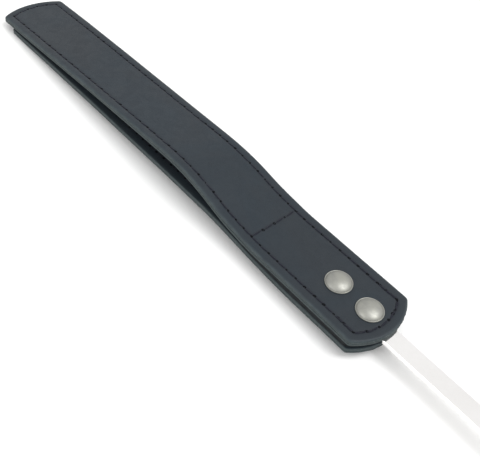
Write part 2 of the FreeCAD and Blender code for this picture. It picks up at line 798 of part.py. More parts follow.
def grip_seam():
    # The closing seam along the underside of the sleeve.
    proud = size("stitch_proud - thread_radius")
    radius = size(BELLY_ARC)
    middle_x = (grip_front_x + grip_rear_x) / 2
    stitches = []
    for along in row_of(size("grip_length - stitch_pitch")):
        x = grip_rear_x + size("stitch_pitch / 2") + along
        surface = size("grip_belly_radius") - radius + math.sqrt(radius ** 2 - (x - middle_x) ** 2)
        length = size("stitch_length")
        start = FreeCAD.Vector(x - length / 2, 0, -surface - proud)
        stitches.append(Part.makeCylinder(size("thread_radius"), length, start, FreeCAD.Vector(1, 0, 0)))
    stitch_group("grip_seam_stitches", stitches)


head_stitches("upper", upper_path, 1, 0.0, upper_tip_x)
head_stitches("lower", lower_path, -1, lower_near_x, lower_tip_x)
grip_seam()


# ---------------------------------------------------------------- laid on the ground

def lay_down():
    # The ground is the line under the crop that touches the ball pommel and the last bend of the
    # lower tongue. The whole crop turns about Y until that line is level.
    bend = lower_path[-2]
    tip_radius = bend["radius"] + ply
    ball_radius = size("pommel_radius")
    run = bend["cx"] - pommel_x
    distance = math.hypot(run, bend["cz"])
    slope = math.atan2(bend["cz"], run) - math.asin((tip_radius - ball_radius) / distance)
    turn = FreeCAD.Rotation(FreeCAD.Vector(0, 1, 0), math.degrees(slope))
    turned = FreeCAD.Placement(FreeCAD.Vector(), turn)
    boxes = [thing.Shape.transformed(turned.toMatrix()).optimalBoundingBox() for thing in sub_parts]
    middle_x = (min(box.XMin for box in boxes) + max(box.XMax for box in boxes)) / 2
    lowest = min(box.ZMin for box in boxes)
    return FreeCAD.Placement(FreeCAD.Vector(-middle_x, 0, -lowest), turn)


doc.recompute()
resting = lay_down()
for thing in sub_parts:
    thing.Placement = resting
doc.recompute()


# ---------------------------------------------------------------- check and write

def check(thing):
    faults = [state for state in thing.State if state in ("Invalid", "Error")]
    if faults:
        raise RuntimeError(f"{thing.Label} is {faults}")


for thing in doc.Objects:
    check(thing)
os.makedirs("parts", exist_ok=True)
for thing in sub_parts:
    shape = thing.Shape
    if shape.isNull() or not shape.isValid() or not shape.Solids:
        raise RuntimeError(f"{thing.Label} has no valid solid")
    shape.exportStep(f"parts/{thing.Label}.step")
    box = shape.optimalBoundingBox()
    print(f"{thing.Label:26} {shape.Volume:9.1f} mm3, {len(shape.Solids)} solids, "
          f"x {box.XMin:.2f} {box.XMax:.2f}, z {box.ZMin:.2f} {box.ZMax:.2f}")
for name, point in (("upper hinge", path_point(upper_path, hinge_x)[0]),
                    ("lower hinge", path_point(lower_path, hinge_x)[0]),
                    ("lanyard hole", vector(pommel_x, 0))):
    place = resting.multVec(FreeCAD.Vector(point.x, 0, point.y))
    print(f"{name} at {place.x:.4f}, {place.y:.4f}, {place.z:.4f}")
print(f"tilt {math.degrees(resting.Rotation.Angle):.4f}")
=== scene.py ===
import bisect
import json
import math

import bmesh
import bpy
from mathutils import Matrix, Vector, noise
from mathutils.bvhtree import BVHTree
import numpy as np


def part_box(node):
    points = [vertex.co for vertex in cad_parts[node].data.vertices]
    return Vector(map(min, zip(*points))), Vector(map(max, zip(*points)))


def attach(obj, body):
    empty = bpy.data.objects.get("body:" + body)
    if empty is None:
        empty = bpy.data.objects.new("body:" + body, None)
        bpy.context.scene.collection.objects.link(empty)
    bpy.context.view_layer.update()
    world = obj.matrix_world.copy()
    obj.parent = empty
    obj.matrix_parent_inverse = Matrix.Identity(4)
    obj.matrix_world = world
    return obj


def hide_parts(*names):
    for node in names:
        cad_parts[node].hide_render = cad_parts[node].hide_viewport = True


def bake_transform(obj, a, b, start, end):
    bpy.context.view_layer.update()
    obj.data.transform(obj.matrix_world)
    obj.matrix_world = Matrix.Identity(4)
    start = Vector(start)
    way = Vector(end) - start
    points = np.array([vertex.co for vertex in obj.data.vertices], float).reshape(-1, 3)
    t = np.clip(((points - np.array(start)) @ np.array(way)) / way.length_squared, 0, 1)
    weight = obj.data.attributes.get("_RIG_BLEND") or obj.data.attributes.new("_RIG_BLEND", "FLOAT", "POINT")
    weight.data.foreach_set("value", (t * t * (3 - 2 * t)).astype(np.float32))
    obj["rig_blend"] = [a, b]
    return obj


# A riding crop: two stitched leather tongues riveted to a flat steel bar, with a turned ferrule,
# a leather-covered grip and a ball pommel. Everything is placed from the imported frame.

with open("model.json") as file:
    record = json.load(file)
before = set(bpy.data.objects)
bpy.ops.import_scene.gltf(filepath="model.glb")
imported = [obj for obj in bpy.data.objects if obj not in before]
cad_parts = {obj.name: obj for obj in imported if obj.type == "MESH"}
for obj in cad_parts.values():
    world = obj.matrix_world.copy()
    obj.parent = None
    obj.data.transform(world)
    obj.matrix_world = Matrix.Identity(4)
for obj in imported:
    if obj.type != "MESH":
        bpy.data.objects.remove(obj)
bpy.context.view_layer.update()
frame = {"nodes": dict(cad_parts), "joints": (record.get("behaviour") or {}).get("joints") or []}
mm = 0.001
print("frame loaded")


# small helpers

def smoothStep(low, high, value):
    share = min(1.0, max(0.0, (value - low) / (high - low)))
    return share * share * (3.0 - 2.0 * share)


def bell(value, width):
    return math.exp(-(value / width) ** 2)


def cadPoints(nodeName):
    return [v.co.copy() for v in frame["nodes"][nodeName].data.vertices]


def boxMiddle(nodeName):
    low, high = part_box(nodeName)
    return (low + high) / 2


def newPiece(name, verts, faces):
    # a smooth mesh object, its doubles merged and its faces turned outwards
    mesh = bpy.data.meshes.new(name)
    mesh.from_pydata([tuple(v) for v in verts], [], faces)
    builder = bmesh.new()
    builder.from_mesh(mesh)
    bmesh.ops.remove_doubles(builder, verts=builder.verts, dist=0.002 * mm)
    bmesh.ops.dissolve_degenerate(builder, dist=0.0001 * mm, edges=builder.edges)
    bmesh.ops.recalc_face_normals(builder, faces=builder.faces)
    for face in builder.faces:
        face.smooth = True
    builder.to_mesh(mesh)
    builder.free()
    piece = bpy.data.objects.new(name, mesh)
    bpy.context.scene.collection.objects.link(piece)
    return piece


def addPointValue(piece, name, valueAt):
    # stores a number on each vertex for the materials
    values = [valueAt(v.co) for v in piece.data.vertices]
    layer = piece.data.attributes.new(name, "FLOAT", "POINT")
    layer.data.foreach_set("value", values)


def addRestPlace(piece):
    # the vertices' places at rest, so that a pattern doesn't slide when the leather bends
    layer = piece.data.attributes.new("restPlace", "FLOAT_VECTOR", "POINT")
    layer.data.foreach_set("vector", [c for v in piece.data.vertices for c in v.co])


# the crop's own axis: origin in the lanyard hole, X towards the tongues, Z up
axisStart = boxMiddle("lanyard_bush")
cropAxis = (boxMiddle("rivet_posts") - axisStart).normalized()
cropTilt = math.atan2(-cropAxis.z, cropAxis.x)
cropFrame = Matrix.Translation(axisStart) @ Matrix.Rotation(cropTilt, 4, "Y")
toCrop = cropFrame.inverted()


def cropRange(nodeName):
    # how far a node reaches along the crop's axis
    places = [(toCrop @ point).x for point in cadPoints(nodeName)]
    return min(places), max(places)


def cropRadius(nodeName, low=-10.0, high=10.0):
    # the node's greatest radius about the crop's axis between two places
    points = [toCrop @ point for point in cadPoints(nodeName)]
    return max(math.hypot(p.y, p.z) for p in points if low <= p.x <= high)


# shader groups and materials

def addNode(tree, kind, settings=None, **inputs):
    node = tree.nodes.new(kind)
    for name, value in (settings or {}).items():
        setattr(node, name, value)
    for name, value in inputs.items():
        target = node.inputs[int(name[2:])] if name.startswith("in") and name[2:].isdigit() \
            else node.inputs[name.replace("_", " ")]
        if isinstance(value, bpy.types.NodeSocket):
            tree.links.new(value, target)
        else:
            target.default_value = value
    return node


def calculate(tree, operation, first, second=0.0, third=0.0):
    return addNode(tree, "ShaderNodeMath", {"operation": operation}, in0=first, in1=second,
                   in2=third).outputs[0]


def stretch(tree, value, fromLow, fromHigh, toLow=0.0, toHigh=1.0):
    return addNode(tree, "ShaderNodeMapRange", {"interpolation_type": "SMOOTHSTEP"}, Value=value,
                   From_Min=fromLow, From_Max=fromHigh, To_Min=toLow, To_Max=toHigh).outputs["Result"]


def mixColour(tree, factor, first, second, blendType="MIX"):
    node = addNode(tree, "ShaderNodeMix", {"data_type": "RGBA", "blend_type": blendType})
    for place, value in ((0, factor), (6, first), (7, second)):
        if isinstance(value, bpy.types.NodeSocket):
            tree.links.new(value, node.inputs[place])
        else:
            node.inputs[place].default_value = value
    return node.outputs[2]


def newGroup(name, inputs, outputs):
    tree = bpy.data.node_groups.new(name, "ShaderNodeTree")
    for socketName, kind, value in inputs:
        socket = tree.interface.new_socket(socketName, in_out="INPUT", socket_type=kind)
        if value is not None:
            socket.default_value = value
    for socketName in outputs:
        tree.interface.new_socket(socketName, in_out="OUTPUT", socket_type="NodeSocketFloat")
    source = tree.nodes.new("NodeGroupInput").outputs
    result = tree.nodes.new("NodeGroupOutput").inputs
    return tree, source, result


def makeGrainGroup():
    # the pebbled grain of finished leather, with pores and a few long soft creases
    tree, source, result = newGroup("leatherGrain", [
        ("Position", "NodeSocketVector", None),
        ("Cells Per Metre", "NodeSocketFloat", 1700.0),
        ("Crease", "NodeSocketFloat", 0.3),
    ], ["Height", "Pores"])
    warp = addNode(tree, "ShaderNodeTexNoise", Vector=source["Position"], Scale=900.0, Detail=2.0)
    warped = addNode(tree, "ShaderNodeVectorMath", {"operation": "MULTIPLY_ADD"},
                     in0=warp.outputs["Color"], in1=(0.0004, 0.0004, 0.0004), in2=source["Position"])
    cells = addNode(tree, "ShaderNodeTexVoronoi", {"feature": "DISTANCE_TO_EDGE"},
                    Vector=warped.outputs[0], Scale=source["Cells Per Metre"])
    valleys = stretch(tree, cells.outputs["Distance"], 0.0, 0.22)
    fine = addNode(tree, "ShaderNodeTexNoise", Vector=source["Position"], Scale=5200.0, Detail=3.0,
                   Roughness=0.6)
    long = addNode(tree, "ShaderNodeMapping", Vector=source["Position"], Scale=(60.0, 260.0, 60.0))
    creases = addNode(tree, "ShaderNodeTexNoise", Vector=long.outputs[0], Scale=1.0, Detail=4.0,
                      Roughness=0.55, Distortion=0.6)
    folds = stretch(tree, creases.outputs["Fac"], 0.38, 0.52)
    pebbles = calculate(tree, "MULTIPLY_ADD", fine.outputs["Fac"], 0.35, calculate(
        tree, "MULTIPLY", valleys, 0.65))
    height = calculate(tree, "MULTIPLY_ADD", folds, source["Crease"], pebbles)
    tree.links.new(height, result["Height"])
    tree.links.new(calculate(tree, "SUBTRACT", 1.0, valleys), result["Pores"])
    return tree


def makeMottleGroup():
    # broad soft patches of dye and handling
    tree, source, result = newGroup("dyeMottle", [
        ("Position", "NodeSocketVector", None),
        ("Patches Per Metre", "NodeSocketFloat", 45.0),
        ("Contrast", "NodeSocketFloat", 0.5),
    ], ["Mask"])
    patches = addNode(tree, "ShaderNodeTexNoise", Vector=source["Position"],
                      Scale=source["Patches Per Metre"], Detail=5.0, Roughness=0.62, Distortion=0.8)
    spread = stretch(tree, patches.outputs["Fac"], 0.34, 0.66)
    centred = calculate(tree, "SUBTRACT", spread, 0.5)
    tree.links.new(calculate(tree, "MULTIPLY_ADD", centred, source["Contrast"], 0.5), result["Mask"])
    return tree


def makeWearGroup():
    # rubbing along an edge, broken up so that it comes and goes; where it lightens the colour it also places
    # painted light on the edges
    tree, source, result = newGroup("edgeWear", [
        ("Position", "NodeSocketVector", None),
        ("Edge", "NodeSocketFloat", 0.0),
        ("Break Up Per Metre", "NodeSocketFloat", 220.0),
    ], ["Wear"])
    spots = addNode(tree, "ShaderNodeTexNoise", Vector=source["Position"],
                    Scale=source["Break Up Per Metre"], Detail=6.0, Roughness=0.7)
    patchy = stretch(tree, spots.outputs["Fac"], 0.3, 0.7, 0.35, 1.0)
    tree.links.new(calculate(tree, "MULTIPLY", source["Edge"], patchy), result["Wear"])
    return tree


def makeFibreGroup():
    # the packed fibres of a cut leather edge
    tree, source, result = newGroup("cutFibres", [
        ("Position", "NodeSocketVector", None),
        ("Fibres Per Metre", "NodeSocketFloat", 2600.0),
    ], ["Height", "Tone"])
    flat = addNode(tree, "ShaderNodeVectorMath", {"operation": "MULTIPLY"},
                   in0=source["Position"], in1=(0.35, 0.35, 1.0))
    strands = addNode(tree, "ShaderNodeTexNoise", Vector=flat.outputs[0],
                      Scale=source["Fibres Per Metre"], Detail=4.0, Roughness=0.75, Distortion=1.2)
    clumps = addNode(tree, "ShaderNodeTexNoise", Vector=source["Position"], Scale=480.0, Detail=3.0)
    tree.links.new(calculate(tree, "MULTIPLY_ADD", clumps.outputs["Fac"], 0.6,
                             strands.outputs["Fac"]), result["Height"])
    tree.links.new(stretch(tree, strands.outputs["Fac"], 0.35, 0.7), result["Tone"])
    return tree


def makeScratchGroup():
    # fine polishing lines and a little smearing on metal
    tree, source, result = newGroup("polishLines", [
        ("Position", "NodeSocketVector", None),
        ("Lines Along", "NodeSocketVector", (30.0, 2400.0, 2400.0)),
        ("Smears Per Metre", "NodeSocketFloat", 60.0),
    ], ["Height", "Smear"])
    drawn = addNode(tree, "ShaderNodeVectorMath", {"operation": "MULTIPLY"},
                    in0=source["Position"], in1=source["Lines Along"])
    lines = addNode(tree, "ShaderNodeTexNoise", Vector=drawn.outputs[0], Scale=1.0, Detail=4.0,
                    Roughness=0.65)
    smears = addNode(tree, "ShaderNodeTexNoise", Vector=source["Position"],
                     Scale=source["Smears Per Metre"], Detail=5.0, Roughness=0.6)
    tree.links.new(lines.outputs["Fac"], result["Height"])
    tree.links.new(stretch(tree, smears.outputs["Fac"], 0.35, 0.7), result["Smear"])
    return tree


grainGroup = makeGrainGroup()
mottleGroup = makeMottleGroup()
edgeWearAndLightGroup = makeWearGroup()
fibreGroup = makeFibreGroup()
scratchGroup = makeScratchGroup()


def useGroup(tree, group, **inputs):
    return addNode(tree, "ShaderNodeGroup", {"node_tree": group}, **inputs).outputs


def newMaterial(name, shaderValues):
    material = bpy.data.materials.new(name)
    material.use_nodes = True
    tree = material.node_tree
    shader = tree.nodes["Principled BSDF"]
    for socketName, value in shaderValues.items():
        shader.inputs[socketName].default_value = value
    return material, tree, shader


def restPlace(tree):
    return addNode(tree, "ShaderNodeAttribute", {"attribute_name": "restPlace"}).outputs["Vector"]


def ownPlace(tree):
    return addNode(tree, "ShaderNodeTexCoord").outputs["Object"]


def pointValue(tree, name):
    return addNode(tree, "ShaderNodeAttribute", {"attribute_name": name}).outputs["Fac"]


def addBump(tree, shader, *layers):
    # each layer is (height, strength, distance); the later ones lie on the earlier ones
    normal = None
    for height, strength, distance in layers:
        bump = addNode(tree, "ShaderNodeBump", Height=height, Strength=strength, Distance=distance)
        if normal:
            tree.links.new(normal, bump.inputs["Normal"])
        normal = bump.outputs["Normal"]
    tree.links.new(normal, shader.inputs["Normal"])


def makeLeather(name, look):
    # dyed leather: a grained face, a burnished bevel and a fibrous cut edge; the bevel and the cut wall are painted
    # lighter, partly from rubbing and partly to stand for the light on the side faces
    material, tree, shader = newMaterial(name, {
        "Specular IOR Level": look["gloss"], "Sheen Weight": look["sheen"], "Sheen Roughness": 0.45,
        "Coat Roughness": 0.35,
    })
    position = restPlace(tree)
    edge = pointValue(tree, "edgeMask")
    cut = pointValue(tree, "cutMask")
    grooveShade = pointValue(tree, "grooveShadeMask")
    grain = useGroup(tree, grainGroup, Position=position, Cells_Per_Metre=look["cells"],
                     Crease=look["crease"])
    broad = useGroup(tree, mottleGroup, Position=position, Patches_Per_Metre=look["patches"],
                     Contrast=1.0)
    small = useGroup(tree, mottleGroup, Position=position, Patches_Per_Metre=look["patches"] * 6,
                     Contrast=0.8)
    wornAndLitEdge = useGroup(tree, edgeWearAndLightGroup, Position=position, Edge=edge)
    fibre = useGroup(tree, fibreGroup, Position=position)
    dye = mixColour(tree, broad["Mask"], look["dye"], look["dyeWarm"])
    dye = mixColour(tree, calculate(tree, "MULTIPLY", small["Mask"], look["patchDark"]), dye, look["darkDyeAndShade"])
    dye = mixColour(tree, calculate(tree, "MULTIPLY", grain["Pores"], look["poreDark"]), dye, look["darkDyeAndShade"])
    # painted shade: the stitch groove is darkened as if in shadow
    dye = mixColour(tree, calculate(tree, "MULTIPLY", grooveShade, look["grooveShadeShare"]), dye, look["darkDyeAndShade"])
    # painted light: the edge colour is lighter partly from rubbing and partly to stand for the light falling on the
    # bevel
    rubbedAndLitEdge = mixColour(tree, calculate(tree, "MULTIPLY", wornAndLitEdge["Wear"], look["edgeRubAndLightShare"]), dye, look["rubbedAndLitEdge"])
    # painted light: the cut wall's tone is lifted above the fibres' own colour to stand for the light on the side
    # faces
    cutToneAndLight = mixColour(tree, fibre["Tone"], look["cutDark"], look["cutLight"])
    tree.links.new(mixColour(tree, cut, rubbedAndLitEdge, cutToneAndLight), shader.inputs["Base Color"])
    roughness = calculate(tree, "MULTIPLY_ADD", grain["Pores"], 0.10, look["roughness"])
    roughness = calculate(tree, "MULTIPLY_ADD", small["Mask"], 0.08, roughness)
    roughness = calculate(tree, "MULTIPLY_ADD", wornAndLitEdge["Wear"], -0.08, roughness)
    tree.links.new(calculate(tree, "MULTIPLY_ADD", cut, 0.15, roughness), shader.inputs["Roughness"])
    faceGrain = calculate(tree, "MULTIPLY", grain["Height"], calculate(tree, "SUBTRACT", 1.0, cut))
    cutGrain = calculate(tree, "MULTIPLY", fibre["Height"], cut)
    addBump(tree, shader, (faceGrain, look["grainStrength"], 0.06 * mm), (cutGrain, 0.6, 0.12 * mm))
    return material


# the edge and cut colours here are partly painted light, lighter to stand for the light on the bevel and the cut
# sides
headLook = {
    "dye": (0.0100, 0.0185, 0.0265, 1), "dyeWarm": (0.0130, 0.0190, 0.0250, 1),
    "darkDyeAndShade": (0.0060, 0.0090, 0.0145, 1), "rubbedAndLitEdge": (0.040, 0.056, 0.062, 1),
    "cutDark": (0.022, 0.031, 0.033, 1), "cutLight": (0.052, 0.070, 0.070, 1),
    "edgeRubAndLightShare": 0.80, "gloss": 0.34, "sheen": 0.03, "roughness": 0.46, "cells": 1900.0, "crease": 0.30,
    "patches": 32.0, "grainStrength": 0.22, "patchDark": 0.22, "poreDark": 0.18, "grooveShadeShare": 0.75,
}
liningLook = dict(headLook, roughness=0.58, gloss=0.35, cells=2400.0, grainStrength=0.5)
fillerLook = dict(headLook, roughness=0.75, gloss=0.2, dye=(0.010, 0.012, 0.014, 1),
                  cutDark=(0.006, 0.007, 0.008, 1), cutLight=(0.020, 0.023, 0.025, 1))
gripLook = dict(headLook, roughness=0.40, cells=1500.0, crease=0.6, patches=55.0, grainStrength=0.55)
headLeather = makeLeather("headLeather", headLook)
liningLeather = makeLeather("liningLeather", liningLook)
fillerLeather = makeLeather("fillerLeather", fillerLook)
gripLeather = makeLeather("gripLeather", gripLook)


def makeThread(name, colour, highlight):
    # waxed twisted thread
    material, tree, shader = newMaterial(name, {"Specular IOR Level": 0.22, "Sheen Weight": 0.02})
    position = restPlace(tree)
    fibre = useGroup(tree, fibreGroup, Position=position, Fibres_Per_Metre=5200.0)
    mottle = useGroup(tree, mottleGroup, Position=position, Patches_Per_Metre=420.0, Contrast=1.0)
    tone = mixColour(tree, fibre["Tone"], colour, highlight)
    tree.links.new(mixColour(tree, calculate(tree, "MULTIPLY", mottle["Mask"], 0.4), tone, colour),
                   shader.inputs["Base Color"])
    tree.links.new(stretch(tree, fibre["Tone"], 0.0, 1.0, 0.45, 0.7), shader.inputs["Roughness"])
    addBump(tree, shader, (fibre["Height"], 0.5, 0.05 * mm))
    return material


def makeHoleShade():
    # painted shadow of a needle hole: a near-black matte colour standing for the shade inside the hole
    material, tree, shader = newMaterial("needleHoleShade", {"Specular IOR Level": 0.1})
    position = restPlace(tree)
    fibre = useGroup(tree, fibreGroup, Position=position, Fibres_Per_Metre=6000.0)
    tree.links.new(mixColour(tree, fibre["Tone"], (0.001, 0.001, 0.002, 1), (0.006, 0.007, 0.009, 1)),
                   shader.inputs["Base Color"])
    tree.links.new(stretch(tree, fibre["Tone"], 0.0, 1.0, 0.8, 0.95), shader.inputs["Roughness"])
    addBump(tree, shader, (fibre["Height"], 0.5, 0.05 * mm))
    return material


headThread = makeThread("headThread", (0.003, 0.004, 0.009, 1), (0.012, 0.014, 0.026, 1))
gripThread = makeThread("gripThread", (0.004, 0.005, 0.010, 1), (0.016, 0.018, 0.030, 1))
needleHoleShade = makeHoleShade()


def makeMetal(name, look, place):
    # metal with polishing lines, smears and a slightly uneven surface
    material, tree, shader = newMaterial(name, {"Metallic": 1.0})
    position = place(tree)
    polish = useGroup(tree, scratchGroup, Position=position, Lines_Along=look["lines"],
                      Smears_Per_Metre=look["smears"])
    tree.links.new(mixColour(tree, polish["Smear"], look["colour"], look["dull"]),
                   shader.inputs["Base Color"])
    rough = calculate(tree, "MULTIPLY_ADD", polish["Smear"], look["smearRoughness"], look["roughness"])
    tree.links.new(rough, shader.inputs["Roughness"])
    addBump(tree, shader, (polish["Height"], look["lineStrength"], 0.01 * mm))
    return material


steelLook = {
    "colour": (0.95, 0.94, 0.93, 1), "dull": (0.88, 0.865, 0.85, 1), "roughness": 0.07,
    "smearRoughness": 0.09, "lines": (25.0, 2600.0, 2600.0), "smears": 45.0, "lineStrength": 0.10,
}
nickelLook = {
    "colour": (0.36, 0.36, 0.325, 1), "dull": (0.31, 0.31, 0.29, 1), "roughness": 0.44,
    "smearRoughness": 0.12, "lines": (900.0, 900.0, 900.0), "smears": 260.0, "lineStrength": 0.18,
}
turnedLook = dict(steelLook, colour=(0.72, 0.71, 0.70, 1), dull=(0.58, 0.57, 0.56, 1),
                  lines=(3200.0, 60.0, 60.0), roughness=0.14)
polishedSteel = makeMetal("polishedSteel", steelLook, restPlace)
turnedSteel = makeMetal("turnedSteel", turnedLook, restPlace)
satinNickel = makeMetal("satinNickel", nickelLook, restPlace)
pinNickel = makeMetal("pinNickel", nickelLook, ownPlace)


def makeBeech():
    # pale close-grained wood, its rings drawn out along the crop
    material, tree, shader = newMaterial("beech", {"Specular IOR Level": 0.4})
    position = ownPlace(tree)
    drawn = addNode(tree, "ShaderNodeMapping", Vector=position, Scale=(14.0, 260.0, 260.0))
    rings = addNode(tree, "ShaderNodeTexNoise", Vector=drawn.outputs[0], Scale=1.0, Detail=6.0,
                    Roughness=0.6, Distortion=0.5)
    flecked = addNode(tree, "ShaderNodeMapping", Vector=position, Scale=(500.0, 2600.0, 2600.0))
    flecks = addNode(tree, "ShaderNodeTexNoise", Vector=flecked.outputs[0], Scale=1.0, Detail=2.0)
    tone = mixColour(tree, rings.outputs["Fac"], (0.42, 0.25, 0.13, 1), (0.60, 0.40, 0.23, 1))
    dark = stretch(tree, flecks.outputs["Fac"], 0.55, 0.7)
    tree.links.new(mixColour(tree, calculate(tree, "MULTIPLY", dark, 0.5), tone, (0.25, 0.14, 0.07, 1)),
                   shader.inputs["Base Color"])
    tree.links.new(stretch(tree, rings.outputs["Fac"], 0.3, 0.7, 0.5, 0.65), shader.inputs["Roughness"])
    addBump(tree, shader, (rings.outputs["Fac"], 0.3, 0.05 * mm))
    return material


beech = makeBeech()
print("materials made")


# the leather head

head = {
    "cornerRadius": 2.0 * mm,      # rounding of the outline's four corners
    "bevelWidth": 0.95 * mm,       # the burnished outer edge
    "bevelDrop": 0.62 * mm,
    "gapBevel": 0.35 * mm,         # the eased edges inside the gap
    "pliesBevel": 0.16 * mm,       # where two glued plies meet
    "stitchMargin": 3.85 * mm,     # from the edge to the stitching
    "channelDepth": 0.14 * mm,     # how far the thread pulls the leather in
    "channelWidth": 0.60 * mm,
    "pillow": 0.10 * mm,           # swell between the edge and the stitching
    "rivetDip": 0.10 * mm,         # the dent round the rivet caps
    "unevenness": 0.06 * mm,
    "handCut": 0.22 * mm,          # how much the cut line wanders
    "fray": 0.30 * mm,             # loose fibres at the end by the bar
    "wanderAlong": 45.0,           # turns of the cut line's wander in a metre, along and across
    "wanderAcross": 30.0,
    "wallFibres": 1500.0,          # loose fibres in a metre, on the cut and on the faces beside it
    "rimFibres": 900.0,
    "holeStep": 0.9 * mm,          # spacing of the mesh along the sides
}
hinges = {joint["name"]: Vector(joint["pos_m"]) for joint in frame["joints"]}
capLow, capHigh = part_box("rivet_caps_upper")
capRadius = (capHigh.y - capLow.y) / 2
rivetXs = [capLow.x + capRadius, capHigh.x - capRadius]
crossX = boxMiddle("upper_cross_stitches").x
insetSteps = [0.0, 0.04, 0.12, 0.24, 0.4, 0.6, 0.8, 0.95, 1.2, 1.7, 2.3, 2.8, 3.2, 3.5, 3.7, 3.85, 4.0, 4.2,
              4.5, 4.9, 5.4, 6.2, 7.2, 8.6, 10.2, 12.4, 15.0]


def readHeights(nodeNames, fromAbove, hingeX):
    # the upper or lower side of a CAD sheet along the crop, read beside the bar
    besideBar = 4.5 * mm
    sampleStep = 2.5 * mm
    hingeGap = 3.0 * mm
    down = Vector((0, 0, -1 if fromAbove else 1))
    samples = []
    for nodeName in nodeNames:
        corners = cadPoints(nodeName)
        triangles = [tuple(p.vertices) for p in frame["nodes"][nodeName].data.polygons]
        tree = BVHTree.FromPolygons(corners, triangles)
        low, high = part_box(nodeName)
        count = max(4, round((high.x - low.x) / sampleStep))
        for place in range(count + 1):
            x = low.x + (high.x - low.x) * (0.001 + 0.998 * place / count)
            if abs(x - hingeX) < hingeGap:
                continue
            hit = tree.ray_cast(Vector((x, besideBar, 0)) - down * 0.1, down)[0]
            if hit is not None:
                samples.append((x, hit.z))
    samples.sort()
    return [x for x, z in samples], [z for x, z in samples]


def heightAt(curve, x):
    # smooth curve through the samples
    xs, zs = curve
    place = min(max(bisect.bisect_right(xs, x) - 1, 0), len(xs) - 2)
    before, after = max(place - 1, 0), min(place + 2, len(xs) - 1)
    span = xs[place + 1] - xs[place]
    slopeStart = (zs[place + 1] - zs[before]) / (xs[place + 1] - xs[before])
    slopeEnd = (zs[after] - zs[place]) / (xs[after] - xs[place])
    share = (x - xs[place]) / span
    if share < 0:
        return zs[place] + (x - xs[place]) * slopeStart
    if share > 1:
        return zs[place + 1] + (x - xs[place + 1]) * slopeEnd
    rise = share * share * (3 - 2 * share)
    startPull = share * (1 - share) ** 2
    endPull = share * share * (share - 1)
    bend = span * (startPull * slopeStart + endPull * slopeEnd)
    return zs[place] * (1 - rise) + zs[place + 1] * rise + bend


def endShape(points, halfWidth, apexX, inward):
    # the end arc's radius follows from its apex and where the straight side stops
    sides = [p.x for p in points if abs(p.y) > halfWidth - 0.001 * mm]
    sideX = min(sides) if inward > 0 else max(sides)
    corner = head["cornerRadius"]
    depth = abs(sideX - apexX)
    rest = halfWidth - corner
    radius = (depth ** 2 + rest ** 2 - corner ** 2) / (2 * (depth - corner))
    centre = apexX + inward * radius
    return {"inward": inward, "side": sideX, "radius": radius, "centre": centre, "rest": rest,
            "lean": math.atan2(rest, radius - depth)}


def makeOutline(rootNode, freeNode):
    rootLow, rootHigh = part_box(rootNode)
    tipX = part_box(freeNode)[1].x
    width = rootHigh.y
    return {
        "halfWidth": width,
        "near": endShape(cadPoints(rootNode), width, rootLow.x, 1),
        "tip": endShape(cadPoints(freeNode), width, tipX, -1),
    }


def insetAt(outline, x, y):
    # distance inwards from the outline
    away = abs(y)
    result = outline["halfWidth"] - away
    for end in (outline["near"], outline["tip"]):
        if (end["centre"] - x) * end["inward"] < 0:
            continue
        beyond = (end["side"] - x) * end["inward"]
        arcInset = end["radius"] - math.hypot(x - end["centre"], y)
        if beyond > 0 and away > end["rest"] and math.atan2(away - end["rest"], beyond) > end["lean"]:
            arcInset = head["cornerRadius"] - math.hypot(beyond, away - end["rest"])
        result = min(result, arcInset)
    return max(result, 0.0)


def outlineLoop(outline):
    # once round the outline as (x, y), the same on both sides of the middle line
    corner = head["cornerRadius"]
    arcs = []
    for end in (outline["near"], outline["tip"]):
        half = []
        arcCount = 16
        for place in range(arcCount + 1):
            angle = end["lean"] * place / arcCount
            half.append((end["centre"] - end["inward"] * end["radius"] * math.cos(angle),
                         end["radius"] * math.sin(angle)))
        cornerCount = 5
        for place in range(1, cornerCount + 1):
            angle = end["lean"] + (math.pi / 2 - end["lean"]) * place / cornerCount
            half.append((end["side"] - end["inward"] * corner * math.cos(angle),
                         end["rest"] + corner * math.sin(angle)))
        arcs.append([(x, -y) for x, y in reversed(half[1:])] + half)
    near, tip = arcs
    startX, endX = outline["near"]["side"], outline["tip"]["side"]
    width = outline["halfWidth"]
    count = round((endX - startX) / head["holeStep"])
    side = [startX + (endX - startX) * place / count for place in range(1, count)]
    return near + [(x, width) for x in side] + tip[::-1] + [(x, -width) for x in reversed(side)]


def channelAt(ply, x, y, inset):
    # how deep in the pulled-in line of stitching a point lies, from 0 to 1
    depth = bell(inset - head["stitchMargin"], head["channelWidth"])
    if abs(y) < ply["outline"]["halfWidth"] - head["stitchMargin"]:
        depth = max(depth, bell(x - crossX, head["channelWidth"]))
    return depth


def dropAt(ply, side, x, y, inset):
    # how far a side of the ply lies inside its CAD sheet
    kind = ply[side]
    bevel = {"outer": head["bevelWidth"], "gap": head["gapBevel"], "glued": head["pliesBevel"]}[kind]
    fall = head["bevelDrop"] if kind == "outer" else bevel
    drop = 0.0
    if inset < bevel:
        drop += fall * (1 - math.sqrt(max(0.0, 1 - (1 - inset / bevel) ** 2)))
    if kind == "glued":
        return drop
    depth = head["channelDepth"] if kind == "outer" else 0.5 * head["channelDepth"]
    drop += depth * channelAt(ply, x, y, inset)
    if kind == "gap":
        return drop
    drop += head["pillow"] * (1 - math.sin(math.pi * min(1.0, inset / head["stitchMargin"])))
    for rivetX in rivetXs:
        away = math.hypot(x - rivetX, y) / capRadius
        drop += head["rivetDip"] * (1 - smoothStep(0.95, 1.75, away))
    drop += head["unevenness"] * (0.5 + 0.5 * noise.noise(Vector((x * 70, y * 110, ply["seed"]))))
    return drop


